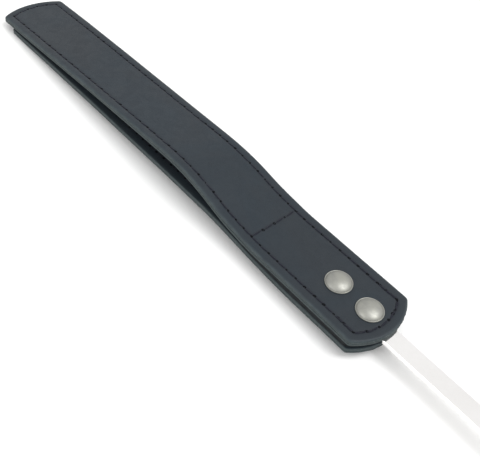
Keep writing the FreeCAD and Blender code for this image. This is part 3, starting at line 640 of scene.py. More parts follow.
def twistAt(twist, x):
    # one smooth swell between the twist's start and end
    rise = smoothStep(twist["start"], twist["crest"], x)
    return twist["lift"] * (rise - smoothStep(twist["crest"], twist["end"], x))


def sheetHeight(ply, level, x, y):
    # the CAD sheet's height, with the ply's twist added where it has one
    lift = twistAt(ply["twist"], x) if ply["twist"] else 0.0
    return heightAt(ply[level], x) + lift * y / ply["outline"]["halfWidth"]


def surfaceZ(ply, side, x, y):
    inset = insetAt(ply["outline"], x, y)
    drop = dropAt(ply, side, x, y, inset)
    if side == "up":
        return sheetHeight(ply, "top", x, y) - drop
    return sheetHeight(ply, "bottom", x, y) + drop


def makePly(name, rootNode, freeNode, hingeX, up, down, seed, twist=None):
    # one leather ply from the bar's end to its tip: rings of vertices from the middle line of its
    # upper side out to the edge, down the cut, and back along its lower side
    outline = makeOutline(rootNode, freeNode)
    ply = {
        "outline": outline, "up": up, "down": down, "seed": seed, "twist": twist,
        "top": readHeights([rootNode, freeNode], True, hingeX),
        "bottom": readHeights([rootNode, freeNode], False, hingeX),
    }
    loop = outlineLoop(outline)
    width = outline["halfWidth"]
    anchorLow = outline["near"]["side"] + 10 * mm
    anchorHigh = outline["tip"]["side"] - 10 * mm
    verts = []

    def addRing(inset, wallShare):
        share = 1 - inset * mm / width if inset * mm < width else 0.0
        for x, y in loop:
            anchorX = min(max(x, anchorLow), anchorHigh)
            outward = Vector((x - anchorX, y, 0))
            px, py = anchorX + outward.x * share, y * share
            depth = insetAt(outline, px, py) if share < 1 else 0.0
            top = sheetHeight(ply, "top", px, py) - dropAt(ply, "up", px, py, depth)
            low = sheetHeight(ply, "bottom", px, py) + dropAt(ply, "down", px, py, depth)
            z = top + (low - top) * wallShare
            outward.normalize()
            cutPlace = Vector((x * head["wanderAlong"], y * head["wanderAcross"], seed))
            wander = 0.5 + 0.5 * noise.noise(cutPlace)
            pull = head["handCut"] * wander * (1 - smoothStep(0.0, 3 * mm, depth))
            nearEnd = smoothStep(outline["near"]["side"], outline["near"]["side"] - 3 * mm, x)
            if 0 < wallShare < 1:
                fibre = noise.noise(Vector((x, y, z)) * head["wallFibres"])
                pull += head["fray"] * nearEnd * (0.3 + 0.7 * fibre)
                pull -= 0.05 * mm * math.sin(math.pi * wallShare)
            elif depth < 0.3 * mm:
                fibre = noise.noise(Vector((x, y, 0)) * head["rimFibres"])
                pull += 0.5 * head["fray"] * nearEnd * (0.5 + 0.5 * fibre)
            verts.append((px - outward.x * pull, py - outward.y * pull, z))

    rings = [(inset, 0.0) for inset in reversed(insetSteps)]
    rings += [(0.0, share) for share in (0.2, 0.4, 0.6, 0.8)]
    rings += [(inset, 1.0) for inset in insetSteps]
    for inset, wallShare in rings:
        addRing(inset, wallShare)
    count = len(loop)
    faces = []
    for ring in range(len(rings) - 1):
        first, second = ring * count, (ring + 1) * count
        for place in range(count):
            after = (place + 1) % count
            faces.append((first + place, first + after, second + after, second + place))
    piece = newPiece(name, verts, faces)
    addPointValue(piece, "edgeMask", lambda p: 1 - smoothStep(0.2 * mm, 1.3 * mm, insetAt(outline, p.x, p.y)))
    # this mask places painted shade along the stitch groove
    addPointValue(piece, "grooveShadeMask", lambda p: channelAt(ply, p.x, p.y, insetAt(outline, p.x, p.y)))

    def cutAt(p):
        inset = insetAt(outline, p.x, p.y)
        top = sheetHeight(ply, "top", p.x, p.y) - p.z
        low = p.z - sheetHeight(ply, "bottom", p.x, p.y)
        edge = head["bevelDrop"] if up == "outer" else 0.1 * mm
        lowEdge = head["bevelDrop"] if down == "outer" else 0.1 * mm
        inWall = smoothStep(0.6 * edge, 1.1 * edge, top) * smoothStep(0.6 * lowEdge, 1.1 * lowEdge, low)
        return inWall * (1 - smoothStep(0.15 * mm, 0.7 * mm, inset))

    addPointValue(piece, "cutMask", cutAt)
    addRestPlace(piece)
    ply["piece"] = piece
    return ply


upperHingeX = hinges["upper_tongue_flex"].x
lowerHingeX = hinges["lower_tongue_flex"].x
upperTwist = {
    "lift": 1.5 * mm,               # how far the edges leave the sheet at the crest
    "start": crossX,                # the sewn zone stays flat
    "crest": crossX + 46 * mm,
    "end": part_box("upper_tongue_face")[1].x,
}
upperFace = makePly("upperFace", "upper_root_face", "upper_tongue_face", upperHingeX,
                    "outer", "glued", 1.3, upperTwist)
upperLining = makePly("upperLining", "upper_root_lining", "upper_tongue_lining", upperHingeX,
                      "glued", "gap", 4.1, upperTwist)
lowerLining = makePly("lowerLining", "lower_root_lining", "lower_tongue_lining", lowerHingeX,
                      "gap", "glued", 7.7)
lowerFace = makePly("lowerFace", "lower_root_face", "lower_tongue_face", lowerHingeX,
                    "glued", "outer", 9.2)
print("leather plies made")


filler = {
    "frayDepth": 0.45 * mm,
    "sideStep": 1.5 * mm,
}


def makeFiller():
    # the packing between the tongues round the tang, thinning away before the hinge line
    points = cadPoints("head_filler")
    low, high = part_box("head_filler")
    width = high.y
    end = endShape(points, width, low.x, 1)
    half = []
    for place in range(25):
        angle = end["lean"] * place / 24
        half.append((end["centre"] - end["radius"] * math.cos(angle), end["radius"] * math.sin(angle)))
    for place in range(1, 6):
        angle = end["lean"] + (math.pi / 2 - end["lean"]) * place / 5
        half.append((end["side"] - head["cornerRadius"] * math.cos(angle),
                     end["rest"] + head["cornerRadius"] * math.sin(angle)))
    count = round((high.x - end["side"]) / filler["sideStep"])
    half += [(end["side"] + (high.x - end["side"]) * place / count, width) for place in range(1, count + 1)]
    loop = half + [(x, -y) for x, y in reversed(half[1:])]
    verts = []
    levels = [0.0, 0.15, 0.35, 0.55, 0.75, 1.0]
    for level in levels:
        for x, y in loop:
            top, bottom = heightAt(upperLining["bottom"], x), heightAt(lowerLining["top"], x)
            z = bottom + max(0.0, top - bottom) * level
            ragged = filler["frayDepth"] * (0.5 + 0.5 * noise.noise(Vector((x, y, z)) * 1300))
            outward = Vector((min(0.0, x - end["side"] - 6 * mm), y, 0)).normalized()
            if level in (0.0, 1.0):
                ragged = 0.3 * filler["frayDepth"]
            verts.append((x - outward.x * ragged, y - outward.y * ragged, z))
    count = len(loop)
    faces = []
    for level in range(len(levels) - 1):
        for place in range(count):
            after = (place + 1) % count
            faces.append((level * count + place, level * count + after,
                          (level + 1) * count + after, (level + 1) * count + place))
    top = (len(levels) - 1) * count
    halfCount = len(half)
    for base in (0, top):
        faces.append((base, base + 1, base + count - 1))
        for place in range(1, halfCount - 1):
            faces.append((base + place, base + place + 1, base + count - place - 1, base + count - place))
    piece = newPiece("packing", verts, faces)
    addPointValue(piece, "edgeMask", lambda p: 0.0)
    addPointValue(piece, "grooveShadeMask", lambda p: 0.0)
    addPointValue(piece, "cutMask", lambda p: 1.0)
    addRestPlace(piece)
    piece.data.materials.append(fillerLeather)
    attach(piece, "crop")
    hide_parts("head_filler")


makeFiller()
print("packing made")


# stitching

stitching = {
    "pitch": 4.5 * mm,
    "threadRadius": 0.38 * mm,
    "dive": 0.34 * mm,             # how far a stitch's ends go down into their holes
    "holeLength": 0.62 * mm,
    "holeWidth": 0.50 * mm,
    "slant": math.radians(7),
    "wander": 0.16 * mm,
    "fill": 0.92,                  # a stitch's length as a share of the pitch
    "tightPitch": 2.1 * mm,        # the locked stitches at the start and end of the thread
    "tightWander": 0.42 * mm,
}


def hiddenObject(name, verts, faces):
    mesh = bpy.data.meshes.new(name)
    mesh.from_pydata(verts, [], faces)
    for face in mesh.polygons:
        face.use_smooth = True
    return bpy.data.objects.new(name, mesh)


def makeThreadShape():
    # one stitch, a metre long so that it scales to its pitch: two plies twisted together
    stations = [-0.5, -0.42, -0.25, -0.08, 0.08, 0.25, 0.42, 0.5]
    sides = 6
    radius = stitching["threadRadius"]
    verts = []
    for station in stations:
        bend = (abs(station) / 0.5) ** 3
        size = radius * (1 - 0.35 * bend)
        for side in range(sides):
            angle = 2 * math.pi * side / sides
            twist = 1 + 0.14 * math.cos(2 * angle + station * 9)
            verts.append((station, size * twist * math.cos(angle),
                          size * twist * math.sin(angle) - stitching["dive"] * bend))
    faces = []
    for ring in range(len(stations) - 1):
        for side in range(sides):
            after = (side + 1) % sides
            first, second = ring * sides, (ring + 1) * sides
            faces.append((first + side, first + after, second + after, second + side))
    faces.append(tuple(reversed(range(sides))))
    faces.append(tuple(range((len(stations) - 1) * sides, len(stations) * sides)))
    return hiddenObject("threadShape", verts, faces)


def makeHoleShape():
    # a shallow pit painted dark as hole shadow, a closed lens a little longer than it is wide
    sides = 8
    long, wide = stitching["holeLength"], stitching["holeWidth"]
    verts = [(0, 0, -0.02 * mm), (0, 0, -0.30 * mm)]
    for size, z in ((0.55, 0.08 * mm), (1.0, 0.07 * mm), (0.9, -0.2 * mm)):
        for side in range(sides):
            angle = 2 * math.pi * side / sides
            verts.append((size * long * math.cos(angle), size * wide * math.sin(angle), z))
    faces = []
    for side in range(sides):
        after = (side + 1) % sides
        faces.append((0, 2 + side, 2 + after))
        for ring in range(2):
            first, second = 2 + ring * sides, 2 + (ring + 1) * sides
            faces.append((first + side, second + side, second + after, first + after))
        faces.append((2 + 2 * sides + side, 1, 2 + 2 * sides + after))
    return hiddenObject("holeShape", verts, faces)


threadShape = makeThreadShape()
holeShape = makeHoleShape()


def newTree(name, inputs):
    tree = bpy.data.node_groups.new(name, "GeometryNodeTree")
    tree.interface.new_socket("Geometry", in_out="OUTPUT", socket_type="NodeSocketGeometry")
    tree.interface.new_socket("Geometry", in_out="INPUT", socket_type="NodeSocketGeometry")
    for socketName, kind, value in inputs:
        socket = tree.interface.new_socket(socketName, in_out="INPUT", socket_type=kind)
        if value is not None:
            socket.default_value = value
    return tree, tree.nodes.new("NodeGroupInput").outputs, tree.nodes.new("NodeGroupOutput").inputs


def markedRow(tree, source):
    # the row as a chain of edges, one for each stitch, with its points a little out of place
    row = addNode(tree, "GeometryNodeResampleCurve", {"mode": "LENGTH"}, Curve=source["Geometry"],
                  Length=source["Pitch"])
    chain = addNode(tree, "GeometryNodeCurveToMesh", Curve=row.outputs[0])
    least = addNode(tree, "ShaderNodeVectorMath", {"operation": "SCALE"}, in0=(-1, -1, 0),
                    Scale=source["Wander"])
    most = addNode(tree, "ShaderNodeVectorMath", {"operation": "SCALE"}, in0=(1, 1, 0),
                   Scale=source["Wander"])
    shift = addNode(tree, "FunctionNodeRandomValue", {"data_type": "FLOAT_VECTOR"},
                    in0=least.outputs[0], in1=most.outputs[0], Seed=source["Seed"])
    moved = addNode(tree, "GeometryNodeSetPosition", Geometry=chain.outputs[0], Offset=shift.outputs[0])
    return moved.outputs[0]


def facingRotation(tree, along, source):
    # X along the row, Z out of the leather
    first = addNode(tree, "FunctionNodeAlignRotationToVector", {"axis": "X"}, Vector=along)
    outward = addNode(tree, "ShaderNodeCombineXYZ", Z=source["Facing"])
    second = addNode(tree, "FunctionNodeAlignRotationToVector", {"axis": "Z", "pivot_axis": "X"},
                     Rotation=first.outputs[0], Vector=outward.outputs[0])
    return second.outputs[0]


rowInputs = [
    ("Shape", "NodeSocketObject", None), ("Finish", "NodeSocketMaterial", None),
    ("Pitch", "NodeSocketFloat", stitching["pitch"]), ("Wander", "NodeSocketFloat", stitching["wander"]),
    ("Facing", "NodeSocketFloat", 1.0), ("Seed", "NodeSocketInt", 7),
    ("Fill", "NodeSocketFloat", stitching["fill"]), ("Slant", "NodeSocketFloat", stitching["slant"]),
]


def makeStitchTree():
    tree, source, result = newTree("stitchRow", rowInputs)
    chain = markedRow(tree, source)
    ends = addNode(tree, "GeometryNodeInputMeshEdgeVertices")
    span = addNode(tree, "ShaderNodeVectorMath", {"operation": "SUBTRACT"},
                   in0=ends.outputs["Position 2"], in1=ends.outputs["Position 1"])
    kept = addNode(tree, "GeometryNodeCaptureAttribute", {"domain": "EDGE"}, Geometry=chain)
    kept.capture_items.new("VECTOR", "Span")
    tree.links.new(span.outputs[0], kept.inputs["Span"])
    middles = addNode(tree, "GeometryNodeMeshToPoints", {"mode": "EDGES"}, Mesh=kept.outputs[0])
    rotation = facingRotation(tree, kept.outputs["Span"], source)
    turn = addNode(tree, "ShaderNodeCombineXYZ", Z=source["Slant"])
    slanted = addNode(tree, "FunctionNodeRotateRotation", {"rotation_space": "LOCAL"}, Rotation=rotation,
                      Rotate_By=turn.outputs[0])
    length = addNode(tree, "ShaderNodeVectorMath", {"operation": "LENGTH"}, in0=kept.outputs["Span"])
    filled = addNode(tree, "ShaderNodeMath", {"operation": "MULTIPLY"}, in0=length.outputs["Value"],
                     in1=source["Fill"])
    scale = addNode(tree, "ShaderNodeCombineXYZ", X=filled.outputs[0], Y=1.0, Z=1.0)
    shape = addNode(tree, "GeometryNodeObjectInfo", Object=source["Shape"])
    placed = addNode(tree, "GeometryNodeInstanceOnPoints", Points=middles.outputs[0],
                     Instance=shape.outputs["Geometry"], Rotation=slanted.outputs[0], Scale=scale.outputs[0])
    real = addNode(tree, "GeometryNodeRealizeInstances", Geometry=placed.outputs[0])
    finished = addNode(tree, "GeometryNodeSetMaterial", Geometry=real.outputs[0], Material=source["Finish"])
    tree.links.new(finished.outputs[0], result["Geometry"])
    return tree


def makeHoleTree():
    tree, source, result = newTree("needleHoles", rowInputs[:6])
    chain = markedRow(tree, source)
    shape = addNode(tree, "GeometryNodeObjectInfo", Object=source["Shape"])
    along = addNode(tree, "ShaderNodeCombineXYZ", X=1.0)
    turned = addNode(tree, "FunctionNodeRandomValue", {"data_type": "FLOAT"}, in2=-0.5, in3=0.5,
                     Seed=source["Seed"])
    rotation = facingRotation(tree, along.outputs[0], source)
    turn = addNode(tree, "ShaderNodeCombineXYZ", Z=turned.outputs[1])
    spun = addNode(tree, "FunctionNodeRotateRotation", {"rotation_space": "LOCAL"}, Rotation=rotation,
                   Rotate_By=turn.outputs[0])
    size = addNode(tree, "FunctionNodeRandomValue", {"data_type": "FLOAT"}, in2=0.8, in3=1.2,
                   Seed=source["Seed"])
    points = addNode(tree, "GeometryNodeMeshToPoints", {"mode": "VERTICES"}, Mesh=chain)
    placed = addNode(tree, "GeometryNodeInstanceOnPoints", Points=points.outputs[0],
                     Instance=shape.outputs["Geometry"], Rotation=spun.outputs[0], Scale=size.outputs[1])
    real = addNode(tree, "GeometryNodeRealizeInstances", Geometry=placed.outputs[0])
    finished = addNode(tree, "GeometryNodeSetMaterial", Geometry=real.outputs[0], Material=source["Finish"])
    tree.links.new(finished.outputs[0], result["Geometry"])
    return tree


stitchTree = makeStitchTree()
holeTree = makeHoleTree()


def runTree(tree, carrier, values):
    # a tree's result on the carrier object, as a plain mesh
    modifier = carrier.modifiers.new("made", "NODES")
    modifier.node_group = tree
    for item in tree.interface.items_tree:
        if item.in_out == "INPUT" and item.name in values:
            modifier[item.identifier] = values[item.name]
    bpy.context.view_layer.update()
    evaluated = carrier.evaluated_get(bpy.context.evaluated_depsgraph_get())
    mesh = bpy.data.meshes.new_from_object(evaluated)
    carrier.modifiers.remove(modifier)
    return mesh


def rowCurve(rows):
    curve = bpy.data.curves.new("rows", "CURVE")
    curve.dimensions = "3D"
    for points in rows:
        spline = curve.splines.new("POLY")
        spline.points.add(len(points) - 1)
        for place, point in enumerate(points):
            spline.points[place].co = (*point, 1)
    carrier = bpy.data.objects.new("rows", curve)
    bpy.context.scene.collection.objects.link(carrier)
    return carrier


def joinMeshes(name, meshes):
    joined = bmesh.new()
    for mesh in meshes:
        joined.from_mesh(mesh)
    result = bpy.data.meshes.new(name)
    joined.to_mesh(result)
    joined.free()
    piece = bpy.data.objects.new(name, result)
    bpy.context.scene.collection.objects.link(piece)
    return piece


def sewRows(name, sets, finish, thread):
    # sets of rows, each (rows, values), sewn into one piece of thread or one piece of needle holes
    meshes = []
    for place, (rows, values) in enumerate(sets):
        carrier = rowCurve(rows)
        inputs = dict(values, Shape=threadShape if thread else holeShape, Finish=finish, Seed=11 + place)
        meshes.append(runTree(stitchTree if thread else holeTree, carrier, inputs))
        bpy.data.objects.remove(carrier)
    piece = joinMeshes(name, meshes)
    piece.data.materials.clear()
    piece.data.materials.append(finish)
    addRestPlace(piece)
    return piece


def rowOnFace(ply, side, plan, sink):
    # plan points laid on a face of the ply
    sign = 1 if side == "up" else -1
    return [(x, y, surfaceZ(ply, side, x, y) - sign * sink) for x, y in plan]


def planLine(start, end, step=1.0 * mm):
    count = max(2, round(math.dist(start, end) / step))
    return [(start[0] + (end[0] - start[0]) * place / count, start[1] + (end[1] - start[1]) * place / count)
            for place in range(count + 1)]


def rowMeet(outline, endName):
    # where the side rows meet the stitched arc of an end: x and half the arc's turn
    end = outline[endName]
    radius = end["radius"] - head["stitchMargin"]
    y = outline["halfWidth"] - head["stitchMargin"]
    return end["centre"] - end["inward"] * math.sqrt(radius ** 2 - y ** 2), math.asin(y / radius)


def planArc(outline, endName, fromShare=-1.0, toShare=1.0):
    end = outline[endName]
    radius = end["radius"] - head["stitchMargin"]
    halfTurn = rowMeet(outline, endName)[1]
    count = 32
    points = []
    for place in range(count + 1):
        angle = halfTurn * (fromShare + (toShare - fromShare) * place / count)
        points.append((end["centre"] - end["inward"] * radius * math.cos(angle), radius * math.sin(angle)))
    return points


def outerRows(ply, side, sink):
    # the rows of an outer face: both sides, both ends and the one across
    outline = ply["outline"]
    y = outline["halfWidth"] - head["stitchMargin"]
    nearX, tipX = rowMeet(outline, "near")[0], rowMeet(outline, "tip")[0]
    plans = [planLine((nearX, sign * y), (tipX, sign * y)) for sign in (-1, 1)]
    plans += [planArc(outline, "near"), planArc(outline, "tip")]
    plans.append(planLine((crossX, -y), (crossX, y)))
    return [rowOnFace(ply, side, plan, sink) for plan in plans]


def tightRows(ply, side, sink):
    # the doubled stitches where the thread was locked off by the two near corners
    outline = ply["outline"]
    y = outline["halfWidth"] - head["stitchMargin"]
    nearX = rowMeet(outline, "near")[0]
    plans = []
    for sign in (-1, 1):
        plans.append(planLine((nearX + 0.4 * mm, sign * (y + 0.2 * mm)), (nearX + 7.5 * mm, sign * y)))
        plans.append(planArc(outline, "near", sign * 0.98, sign * 0.45))
    return [rowOnFace(ply, side, plan, sink) for plan in plans]


def gapRows(ply, side, sink, startX):
    # the thread seen inside the gap, from where the tongues part
    outline = ply["outline"]
    y = outline["halfWidth"] - head["stitchMargin"]
    tipX = rowMeet(outline, "tip")[0]
    plans = [planLine((startX, sign * y), (tipX, sign * y)) for sign in (-1, 1)]
    plans.append(planArc(outline, "tip"))
    return [rowOnFace(ply, side, plan, sink) for plan in plans]


def sewTongue(prefix, face, faceSide, lining, liningSide):
    facing = 1.0 if faceSide == "up" else -1.0
    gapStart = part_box("head_filler")[1].x + 4 * mm
    tight = {"Pitch": stitching["tightPitch"], "Wander": stitching["tightWander"], "Facing": facing}
    threadSink = 0.06 * mm if facing > 0 else 0.30 * mm
    threadSets = [
        (outerRows(face, faceSide, threadSink), {"Facing": facing}),
        (tightRows(face, faceSide, threadSink - 0.1 * mm), tight),
        (gapRows(lining, liningSide, 0.2 * mm, gapStart), {"Facing": -facing}),
    ]
    holeSets = [
        (outerRows(face, faceSide, 0.0), {"Facing": facing}),
        (tightRows(face, faceSide, 0.0), tight),
        (gapRows(lining, liningSide, 0.0, gapStart), {"Facing": -facing}),
    ]
    threads = sewRows(prefix + "Thread", threadSets, headThread, True)
    holes = sewRows(prefix + "NeedleHoles", holeSets, needleHoleShade, False)
    return threads, holes


upperThread, upperHoles = sewTongue("upper", upperFace, "up", upperLining, "down")
lowerThread, lowerHoles = sewTongue("lower", lowerFace, "down", lowerLining, "up")
print("stitching made")


# the leather and its thread bend together from the hinge line onwards
bendRun = 26 * mm


def bindTongue(piece, prefix, finish, slotName, *nodes):
    hinge = hinges[prefix + "_tongue_flex"]
    piece.data.materials.clear()
    piece.data.materials.append(finish)
    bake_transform(piece, "crop", prefix + "_tongue", start=tuple(hinge), end=(hinge.x + bendRun, hinge.y, hinge.z))
    if nodes:
        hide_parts(*nodes)


bindTongue(upperFace["piece"], "upper", headLeather, "head_leather", "upper_root_face", "upper_tongue_face")
bindTongue(upperLining["piece"], "upper", liningLeather, "lining_leather", "upper_root_lining",
           "upper_tongue_lining")
bindTongue(lowerLining["piece"], "lower", liningLeather, "lining_leather", "lower_root_lining",
           "lower_tongue_lining")
bindTongue(lowerFace["piece"], "lower", headLeather, "head_leather", "lower_root_face", "lower_tongue_face")
bindTongue(upperThread, "upper", headThread, "head_thread", "upper_root_stitches", "upper_cross_stitches",
           "upper_tongue_stitches")
bindTongue(lowerThread, "lower", headThread, "head_thread", "lower_root_stitches", "lower_cross_stitches",
           "lower_tongue_stitches")
bindTongue(upperHoles, "upper", needleHoleShade, "head_leather")
bindTongue(lowerHoles, "lower", needleHoleShade, "head_leather")


# rivets

rivet = {
    "rimHeight": 0.26 * mm,
    "rimWidth": 0.34 * mm,
    "buried": 0.35 * mm,           # the cap's edge pressed into the leather
    "domeFullness": 2.4,
    "turns": 64,
}


def turnedShape(profile, turns):
    # a closed shape turned about Z from (radius, z) points that start and end on the axis
    verts = []
    rings = []
    for radius, z in profile:
        if radius < 0.001 * mm:
            rings.append([len(verts)])
            verts.append((0.0, 0.0, z))
            continue
        rings.append(list(range(len(verts), len(verts) + turns)))
        for turn in range(turns):
            angle = 2 * math.pi * turn / turns
            verts.append((radius * math.cos(angle), radius * math.sin(angle), z))
    faces = []
    for first, second in zip(rings, rings[1:]):
        for turn in range(turns):
            after = (turn + 1) % turns
            corners = [first[turn % len(first)], first[after % len(first)],
                       second[after % len(second)], second[turn % len(second)]]
            faces.append(tuple(dict.fromkeys(corners)))
    return verts, faces


def capProfile(height):
    points = [(0.0, -rivet["buried"]), (0.6 * capRadius, -rivet["buried"]),
              (capRadius - 0.15 * mm, -rivet["buried"]), (capRadius, -0.6 * rivet["buried"]),
              (capRadius, 0.0)]
    rimHigh = rivet["rimHeight"]
    rimWide = rivet["rimWidth"]
    for place in range(1, 7):
        angle = math.pi * place / 7
        points.append((capRadius - rimWide * (1 - math.cos(angle)) / 2,
                       0.5 * rimHigh + 0.5 * rimHigh * math.sin(angle)))
    domeRadius = capRadius - rimWide
    base = 0.92 * rimHigh
    points.append((domeRadius, base - 0.02 * mm))
    steps = 16
    for place in range(1, steps + 1):
        share = math.cos(math.pi / 2 * place / steps) if place < steps else 0.0
        rise = (1 - share ** rivet["domeFullness"]) ** 0.75
        points.append((domeRadius * share, base + (height - base) * rise))
    return points


def makeCapTree():
    tree, source, result = newTree("rivetCaps", [
        ("Shape", "NodeSocketObject", None), ("Finish", "NodeSocketMaterial", None),
        ("Lean", "NodeSocketFloat", 0.0), ("Roll", "NodeSocketFloat", 0.0), ("Seed", "NodeSocketInt", 3),
    ])
    shape = addNode(tree, "GeometryNodeObjectInfo", Object=source["Shape"])
    points = addNode(tree, "GeometryNodeMeshToPoints", {"mode": "VERTICES"}, Mesh=source["Geometry"])
    spin = addNode(tree, "FunctionNodeRandomValue", {"data_type": "FLOAT"}, in2=0.0, in3=6.0,
                   Seed=source["Seed"])
    turn = addNode(tree, "ShaderNodeCombineXYZ", Z=spin.outputs[1])
    lean = addNode(tree, "ShaderNodeCombineXYZ", X=source["Roll"], Y=source["Lean"])
    rotation = addNode(tree, "FunctionNodeRotateRotation", {"rotation_space": "LOCAL"},
                       Rotation=lean.outputs[0], Rotate_By=turn.outputs[0])
    placed = addNode(tree, "GeometryNodeInstanceOnPoints", Points=points.outputs[0],
                     Instance=shape.outputs["Geometry"], Rotation=rotation.outputs[0])
    real = addNode(tree, "GeometryNodeRealizeInstances", Geometry=placed.outputs[0])
    finished = addNode(tree, "GeometryNodeSetMaterial", Geometry=real.outputs[0], Material=source["Finish"])
    tree.links.new(finished.outputs[0], result["Geometry"])
    return tree


capTree = makeCapTree()


def makeCaps(name, node, isUpper):
    # a pair of domed caps standing on an outer face
    points = [toCrop @ p for p in cadPoints(node)]
    capLowest, capTop = min(abs(p.z) for p in points), max(abs(p.z) for p in points)
    verts, faces = turnedShape(capProfile(capTop - capLowest - 0.01 * mm), rivet["turns"])
    shape = hiddenObject("capShape", verts, faces)
    places = []
    for rivetX in rivetXs:
        along = (toCrop @ Vector((rivetX, 0, boxMiddle(node).z))).x
        places.append(cropFrame @ Vector((along, 0, capLowest if isUpper else -capLowest)))
    mesh = bpy.data.meshes.new("capPlaces")
    mesh.from_pydata([tuple(p) for p in places], [], [])
    carrier = bpy.data.objects.new("capPlaces", mesh)
    bpy.context.scene.collection.objects.link(carrier)
    made = runTree(capTree, carrier, {
        "Shape": shape, "Finish": satinNickel, "Lean": cropTilt if isUpper else -cropTilt,
        "Roll": 0.0 if isUpper else math.pi, "Seed": 3 if isUpper else 5,
    })
    bpy.data.objects.remove(carrier)
    piece = joinMeshes(name, [made])
    piece.data.materials.clear()
    piece.data.materials.append(satinNickel)
    addRestPlace(piece)
    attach(piece, "crop")
    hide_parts(node)


makeCaps("rivetCapsTop", "rivet_caps_upper", True)
makeCaps("rivetCapsBottom", "rivet_caps_lower", False)
print("rivets made")


# the steel bar

bar = {
    "arris": 0.42 * mm,            # rounding of the long edges
    "crown": 0.05 * mm,            # the faces bow very slightly
    "sideCrown": 0.02 * mm,
    "lengthStep": 4 * mm,
}


def barSection(halfWidth, halfThick):
    # the bar's cross-section, once round, as (y, z)
    arris = bar["arris"]
    flatY, flatZ = halfWidth - arris - bar["sideCrown"], halfThick - arris - bar["crown"]
    quarter = []
    for place in range(7):
        angle = math.pi / 2 * place / 6
        quarter.append((flatY + arris * math.cos(angle), flatZ + arris * math.sin(angle)))
    for share in (0.985, 0.94, 0.8, 0.6, 0.4, 0.2):
        quarter.append((flatY * share, flatZ + arris + bar["crown"] * (1 - share ** 2)))
    side = [(halfWidth - bar["sideCrown"] * share ** 2, flatZ * share) for share in (0.35, 0.7, 0.94)]
    quarter = side + quarter
    half = [(halfWidth, 0.0)] + quarter + [(0.0, halfThick)] + [(-y, z) for y, z in reversed(quarter)]
    return half + [(-halfWidth, 0.0)] + [(y, -z) for y, z in reversed(half[1:])]


def makeBar():
    points = [toCrop @ p for p in cadPoints("steel_bar")]
    lowX, highX = min(p.x for p in points), max(p.x for p in points)
    section = barSection(max(p.y for p in points), max(p.z for p in points))
    count = round((highX - lowX) / bar["lengthStep"])
    stations = [(lowX + (highX - lowX) * place / count, 1.0) for place in range(count + 1)]
    ease = 0.3 * mm
    stations = [(lowX, 0.9), (lowX + ease, 1.0)] + stations[1:-1] + [(highX - ease, 1.0), (highX, 0.9)]
    verts = []
    for x, size in stations:
        for y, z in section:
            verts.append(cropFrame @ Vector((x, y * size, z * size)))
    faces = []
    sides = len(section)
    for ring in range(len(stations) - 1):
        for side in range(sides):
            after = (side + 1) % sides
            first, second = ring * sides, (ring + 1) * sides
            faces.append((first + side, first + after, second + after, second + side))
    faces.append(tuple(range(sides)))
    faces.append(tuple(range(len(verts) - sides, len(verts))))
    piece = newPiece("flatBar", verts, faces)
    addRestPlace(piece)
    piece.data.materials.append(polishedSteel)
    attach(piece, "crop")
    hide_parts("steel_bar")


makeBar()
print("bar made")


# the handle

handle = {
    "turns": 96,
    "grooveDepth": 0.30 * mm,
    "sleeveEdge": 1.1 * mm,        # the turned-in ends of the grip leather
    "creaseInset": 4.0 * mm,       # the creased line round each end of the grip
    "creaseDepth": 0.28 * mm,
    "seamDepth": 0.55 * mm,
    "seamWidth": 0.42 * mm,
    "seamPitch": 3.4 * mm,
    "seamReach": 5.0 * mm,         # how far the seam's stitches cross it
    "seamLean": math.radians(58),
    "ballGroove": 0.25 * mm,
}


def layAlongCrop(verts):
    # a shape turned about Z is laid on the crop's axis
    return [cropFrame @ Vector((z, x, y)) for x, y, z in verts]


def finishTurned(name, profile, finish, node):
    verts, faces = turnedShape(profile, handle["turns"])
    piece = newPiece(name, layAlongCrop(verts), faces)
    addRestPlace(piece)
    piece.data.materials.append(finish)
    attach(piece, "crop")
    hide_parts(node)
    return piece


def bead(radius, centreX, halfLength, height, steps=8):
    # a half-round bead on a turned profile, from its rear to its front
    return [(radius + height * math.sin(math.pi * place / steps),
             centreX - halfLength * math.cos(math.pi * place / steps)) for place in range(steps + 1)]


def makeFerrule():
    # a tapered collar: a stepped rear band, a hollow taper and a beaded mouth round the bar
    rear, front = cropRange("ferrule")
    wide = cropRadius("ferrule", rear, rear + 4 * mm)
    slim = cropRadius("ferrule", front - 3 * mm, front)
    profile = [(0.0, rear), (0.8 * wide, rear), (wide - 0.5 * mm, rear), (wide - 0.15 * mm, rear + 0.15 * mm),
               (wide, rear + 0.6 * mm), (wide, rear + 1.4 * mm)]
    profile += [(wide - handle["grooveDepth"] * math.sin(math.pi * place / 6),
                 rear + (1.4 + 0.1 * place) * mm) for place in range(1, 7)]
    profile += [(wide, rear + 2.4 * mm), (wide, rear + 3.6 * mm), (wide - 0.15 * mm, rear + 3.9 * mm),
                (wide - 0.7 * mm, rear + 4.1 * mm)]
    taperStart, taperEnd = rear + 4.6 * mm, front - 4.6 * mm
    for place in range(15):
        share = place / 14
        radius = (wide - 0.95 * mm) * (1 - share) + (slim - 0.75 * mm) * share
        radius -= 0.55 * mm * math.sin(math.pi * share)
        profile.append((radius, taperStart + (taperEnd - taperStart) * share))
    profile += bead(slim - 0.8 * mm, front - 3.6 * mm, 0.7 * mm, 0.5 * mm)
    profile += bead(slim - 0.8 * mm, front - 1.6 * mm, 1.1 * mm, 0.78 * mm)
    profile += [(slim - 1.0 * mm, front - 0.3 * mm), (slim - 1.4 * mm, front), (0.0, front)]
    finishTurned("turnedFerrule", profile, turnedSteel, "ferrule")


def sleeveRadius(share, endRadius, bellyRadius):
    # fuller towards the middle; share runs from -1 at the rear to 1 at the front
    return endRadius + (bellyRadius - endRadius) * (1 - share ** 2)


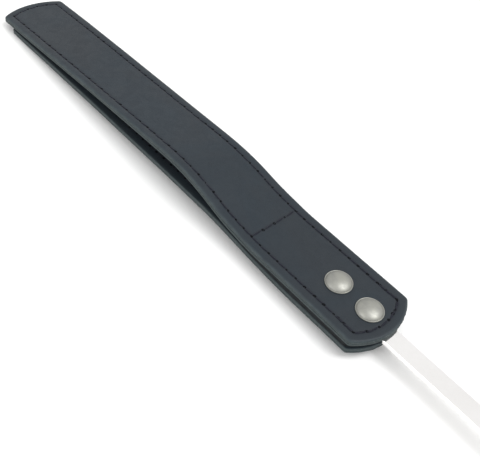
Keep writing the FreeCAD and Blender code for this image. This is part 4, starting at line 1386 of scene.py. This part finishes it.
def makeGrip():
    # the leather sleeve: rounded turned-in ends, a creased line near each and a butted seam below
    rear, front = cropRange("grip_sleeve")
    middle, half = (rear + front) / 2, (front - rear) / 2
    endRadius = cropRadius("grip_sleeve", rear, rear + 0.5 * mm)
    bellyRadius = cropRadius("grip_sleeve")
    inner = cropRadius("grip_core_upper", rear, front)
    edge = handle["sleeveEdge"]
    stations = []
    for place in range(7):
        angle = math.pi / 2 * place / 6
        stations.append((rear + edge * (1 - math.cos(angle)), edge * (1 - math.sin(angle))))
    count = 150
    stations += [(rear + edge + (front - rear - 2 * edge) * place / count, 0.0) for place in range(1, count)]
    stations += [(rear + front - x, drop) for x, drop in reversed(stations[:7])]
    turns = 160
    verts = []
    ringPlaces = [(rear, None)] + stations + [(front, None)]
    for x, drop in ringPlaces:
        for turn in range(turns):
            share = 2 * turn / turns - 1
            angle = math.pi * (share * abs(share) ** 0.6)
            if drop is None:
                radius = inner + 0.05 * mm
            else:
                radius = sleeveRadius((x - middle) / half, endRadius, bellyRadius) - drop
                arc = radius * angle
                radius -= handle["seamDepth"] * bell(arc, handle["seamWidth"])
                radius += 0.12 * mm * bell(abs(arc) - 1.0 * mm, 0.6 * mm) * (1 if drop == 0 else 0)
                radius -= 0.16 * mm * bell(abs(arc) - 2.1 * mm, 0.6 * mm)
                fromEnd = min(x - rear, front - x)
                radius -= handle["creaseDepth"] * bell(fromEnd - handle["creaseInset"], 0.45 * mm)
                radius -= 0.7 * handle["creaseDepth"] * bell(fromEnd - 1.5 * handle["creaseInset"], 0.4 * mm)
                radius -= 0.10 * mm * (0.5 + 0.5 * noise.noise(Vector((x * 55, angle * 1.6, 2.0))))
            verts.append(cropFrame @ Vector((x, radius * math.sin(angle), -radius * math.cos(angle))))
    faces = []
    rings = len(ringPlaces)
    for ring in range(rings):
        first, second = ring * turns, ((ring + 1) % rings) * turns
        for turn in range(turns):
            after = (turn + 1) % turns
            faces.append((first + turn, first + after, second + after, second + turn))
    piece = newPiece("gripSleeve", verts, faces)

    def local(p):
        return toCrop @ p

    def edgeAt(p):
        x = local(p).x
        return 1 - smoothStep(0.3 * mm, 1.6 * mm, min(x - rear, front - x))

    def seamAt(p):
        place = local(p)
        arc = endRadius * math.atan2(place.y, -place.z)
        fromEnd = min(place.x - rear, front - place.x)
        return max(bell(arc, 0.5 * mm), bell(fromEnd - handle["creaseInset"], 0.5 * mm))

    addPointValue(piece, "edgeMask", edgeAt)
    # the seam and the creased lines get the same painted shade
    addPointValue(piece, "grooveShadeMask", seamAt)
    addPointValue(piece, "cutMask", lambda p: 0.0)
    addRestPlace(piece)
    piece.data.materials.append(gripLeather)
    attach(piece, "crop")
    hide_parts("grip_sleeve")

    # leaning stitches across the seam, in two crossing layers, and their holes along both sides
    def seamRow(sideways, sink, first=3.5 * mm):
        points = []
        for place in range(101):
            x = rear + first + (front - rear - 2 * first) * place / 100
            radius = sleeveRadius((x - middle) / half, endRadius, bellyRadius) - sink
            angle = sideways / radius
            points.append(cropFrame @ Vector((x, radius * math.sin(angle), -radius * math.cos(angle))))
        return points

    fill = handle["seamReach"] / handle["seamPitch"]
    crossed = []
    for sink, lean in ((0.30 * mm, handle["seamLean"]), (0.10 * mm, -handle["seamLean"])):
        crossed.append(([seamRow(0, sink)], {
            "Pitch": handle["seamPitch"], "Wander": 0.08 * mm, "Facing": -1.0, "Fill": fill, "Slant": lean}))
    thread = sewRows("gripSeamThread", crossed, gripThread, True)
    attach(thread, "crop")
    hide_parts("grip_seam_stitches")
    reach = handle["seamReach"] / 2 * math.sin(handle["seamLean"])
    holes = sewRows("gripSeamHoles", [([seamRow(sign * reach, 0.2 * mm) for sign in (-1, 1)], {
        "Pitch": handle["seamPitch"], "Wander": 0.08 * mm, "Facing": -1.0})], needleHoleShade, False)
    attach(holes, "crop")


def makePommel():
    # a ball on a skirt, with a groove between them and a dimpled end
    front = cropRange("pommel")[1]
    ballRadius = cropRadius("pommel", -1 * mm, 1 * mm)
    skirt = cropRadius("pommel", front - 1 * mm, front)
    ballFront = math.sqrt(ballRadius ** 2 - skirt ** 2)
    profile = [(0.0, -ballRadius)]
    steps = 40
    lowAngle = math.pi - 0.01
    highAngle = math.atan2(skirt, ballFront) + 0.04
    for place in range(steps + 1):
        angle = lowAngle + (highAngle - lowAngle) * place / steps
        radius = ballRadius - handle["ballGroove"] * bell(angle - 2.86, 0.035)
        profile.append((radius * math.sin(angle), radius * math.cos(angle)))
    skirtStart = ballFront + 0.5 * mm
    profile += [(skirt - 0.55 * mm, ballFront + 0.1 * mm), (skirt - 0.55 * mm, skirtStart),
                (skirt - 0.15 * mm, skirtStart + 0.2 * mm), (skirt, skirtStart + 0.6 * mm),
                (skirt, front - 0.9 * mm), (skirt - 0.12 * mm, front - 0.35 * mm),
                (skirt - 0.5 * mm, front - 0.02 * mm), (skirt - 1.6 * mm, front), (0.0, front)]
    piece = finishTurned("ballPommel", profile, turnedSteel, "pommel")

    # the lanyard hole is cut through the ball
    low, high = cropRange("lanyard_bush")
    holeRadius = (high - low) / 2
    borer = bpy.data.meshes.new("borer")
    cutter = bmesh.new()
    bmesh.ops.create_cone(cutter, cap_ends=True, segments=48, radius1=holeRadius, radius2=holeRadius,
                          depth=3 * ballRadius, matrix=cropFrame @ Matrix.Rotation(math.pi / 2, 4, "X"))
    cutter.to_mesh(borer)
    cutter.free()
    borerObject = bpy.data.objects.new("borer", borer)
    bpy.context.scene.collection.objects.link(borerObject)
    boring = piece.modifiers.new("boring", "BOOLEAN")
    boring.object = borerObject
    boring.operation = "DIFFERENCE"
    boring.solver = "EXACT"
    bored = bpy.data.meshes.new_from_object(piece.evaluated_get(bpy.context.evaluated_depsgraph_get()))
    piece.modifiers.clear()
    piece.data = bored
    bpy.data.objects.remove(borerObject)
    for face in piece.data.polygons:
        face.use_smooth = True
    piece.data.set_sharp_from_angle(angle=math.radians(35))
    attributes = piece.data.attributes
    layer = attributes.get("restPlace") or attributes.new("restPlace", "FLOAT_VECTOR", "POINT")
    layer.data.foreach_set("vector", [c for v in piece.data.vertices for c in v.co])


def makeBush():
    # a thin tube with rolled lips that lines the lanyard hole
    points = [toCrop @ p for p in cadPoints("lanyard_bush")]
    halfLength = max(p.y for p in points)
    outer = max(math.hypot(p.x, p.z) for p in points)
    inner = min(math.hypot(p.x, p.z) for p in points)
    lip = (outer - inner) / 2
    middle = (outer + inner) / 2
    section = []
    for sign in (1, -1):
        for place in range(9):
            angle = math.pi * place / 8
            section.append((middle + lip * math.cos(angle) * sign,
                            sign * (halfLength - lip + lip * math.sin(angle))))
    turns = 48
    verts, faces = [], []
    for radius, y in section:
        for turn in range(turns):
            around = 2 * math.pi * turn / turns
            verts.append(cropFrame @ Vector((radius * math.cos(around), y, radius * math.sin(around))))
    for ring in range(len(section)):
        first, second = ring * turns, ((ring + 1) % len(section)) * turns
        for turn in range(turns):
            after = (turn + 1) % turns
            faces.append((first + turn, first + after, second + after, second + turn))
    piece = newPiece("lanyardBush", verts, faces)
    addRestPlace(piece)
    piece.data.materials.append(satinNickel)
    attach(piece, "crop")
    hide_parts("lanyard_bush")


makeFerrule()
makeGrip()
makePommel()
makeBush()
print("handle made")


# the CAD pieces that stay as they are, mostly inside the handle and the head

keptFinishes = {
    "rivet_posts": pinNickel, "grip_pins": pinNickel, "pommel_pin": pinNickel,
    "grip_core_upper": beech, "grip_core_lower": beech,
}
for nodeName, finish in keptFinishes.items():
    node = frame["nodes"][nodeName]
    if not node.material_slots:
        node.data.materials.append(finish)
    for materialSlot in node.material_slots:
        materialSlot.material = finish
print("kept pieces finished")


# floor, lights and camera

studio = {
    "floorHalf": 6.0,
    "floorDrop": 0.05 * mm,         # the crop lies just clear of the floor
    "floorTone": (0.90, 0.90, 0.895, 1),
    "skyTone": (1.0, 1.0, 1.0, 1),
    "skyStrength": 0.98,
    "lightsAimX": 0.15,             # the lights face the head
    # lights: power, size, distance, degrees from the crop's direction, elevation
    "lights": {
        "keyLight": (11.0, 0.75, 1.5, -150.0, 62.0),
        "fillLight": (5.0, 0.9, 1.6, 75.0, 36.0),
    },
}
camera = {
    "place": (0.021970, 0.138030, 0.190829),
    "yaw": -49.877,
    "pitch": 47.761,
    "roll": 11.944,
    "lens": 51.375,
    "sensorWidth": 36.0,
    "nearestSeen": 5.0 * mm,
}


def makeStudio():
    floorMesh = bpy.data.meshes.new("floor")
    half, level = studio["floorHalf"], -studio["floorDrop"]
    corners = [(-half, -half, level), (half, -half, level), (half, half, level), (-half, half, level)]
    floorMesh.from_pydata(corners, [], [(0, 1, 2, 3)])
    floor = bpy.data.objects.new("floor", floorMesh)
    bpy.context.scene.collection.objects.link(floor)
    material, tree, shader = newMaterial("floorPaper", {"Roughness": 0.9, "Specular IOR Level": 0.1})
    shader.inputs["Base Color"].default_value = studio["floorTone"]
    floorMesh.materials.append(material)
    world = bpy.data.worlds.new("studio")
    world.use_nodes = True
    background = world.node_tree.nodes["Background"]
    background.inputs["Color"].default_value = studio["skyTone"]
    background.inputs["Strength"].default_value = studio["skyStrength"]
    bpy.context.scene.world = world
    for name, (power, size, distance, azimuth, elevation) in studio["lights"].items():
        azimuth, elevation = math.radians(azimuth), math.radians(elevation)
        towards = Vector((math.cos(azimuth) * math.cos(elevation), math.sin(azimuth) * math.cos(elevation),
                          math.sin(elevation)))
        lamp = bpy.data.lights.new(name, "AREA")
        lamp.energy = power
        lamp.size = size
        light = bpy.data.objects.new(name, lamp)
        light.location = Vector((studio["lightsAimX"], 0, 0)) + towards * distance
        light.rotation_mode = "QUATERNION"
        light.rotation_quaternion = towards.to_track_quat("Z", "Y")
        bpy.context.scene.collection.objects.link(light)


def makeCamera():
    yaw, pitch, roll = (math.radians(camera[name]) for name in ("yaw", "pitch", "roll"))
    forward = Vector((math.cos(yaw) * math.cos(pitch), math.sin(yaw) * math.cos(pitch), -math.sin(pitch)))
    right = Vector((math.sin(yaw), -math.cos(yaw), 0))
    up = right.cross(forward)
    turnedRight = math.cos(roll) * right + math.sin(roll) * up
    turnedUp = -math.sin(roll) * right + math.cos(roll) * up
    data = bpy.data.cameras.new("camera")
    data.lens = camera["lens"]
    data.sensor_width = camera["sensorWidth"]
    data.clip_start = camera["nearestSeen"]
    eye = bpy.data.objects.new("camera", data)
    turning = Matrix((turnedRight, turnedUp, -forward)).transposed()
    eye.rotation_mode = "QUATERNION"
    eye.rotation_quaternion = turning.to_quaternion()
    eye.location = camera["place"]
    bpy.context.scene.collection.objects.link(eye)
    bpy.context.scene.camera = eye


makeStudio()
makeCamera()
bpy.context.scene.view_settings.view_transform = "Standard"
print("studio made")
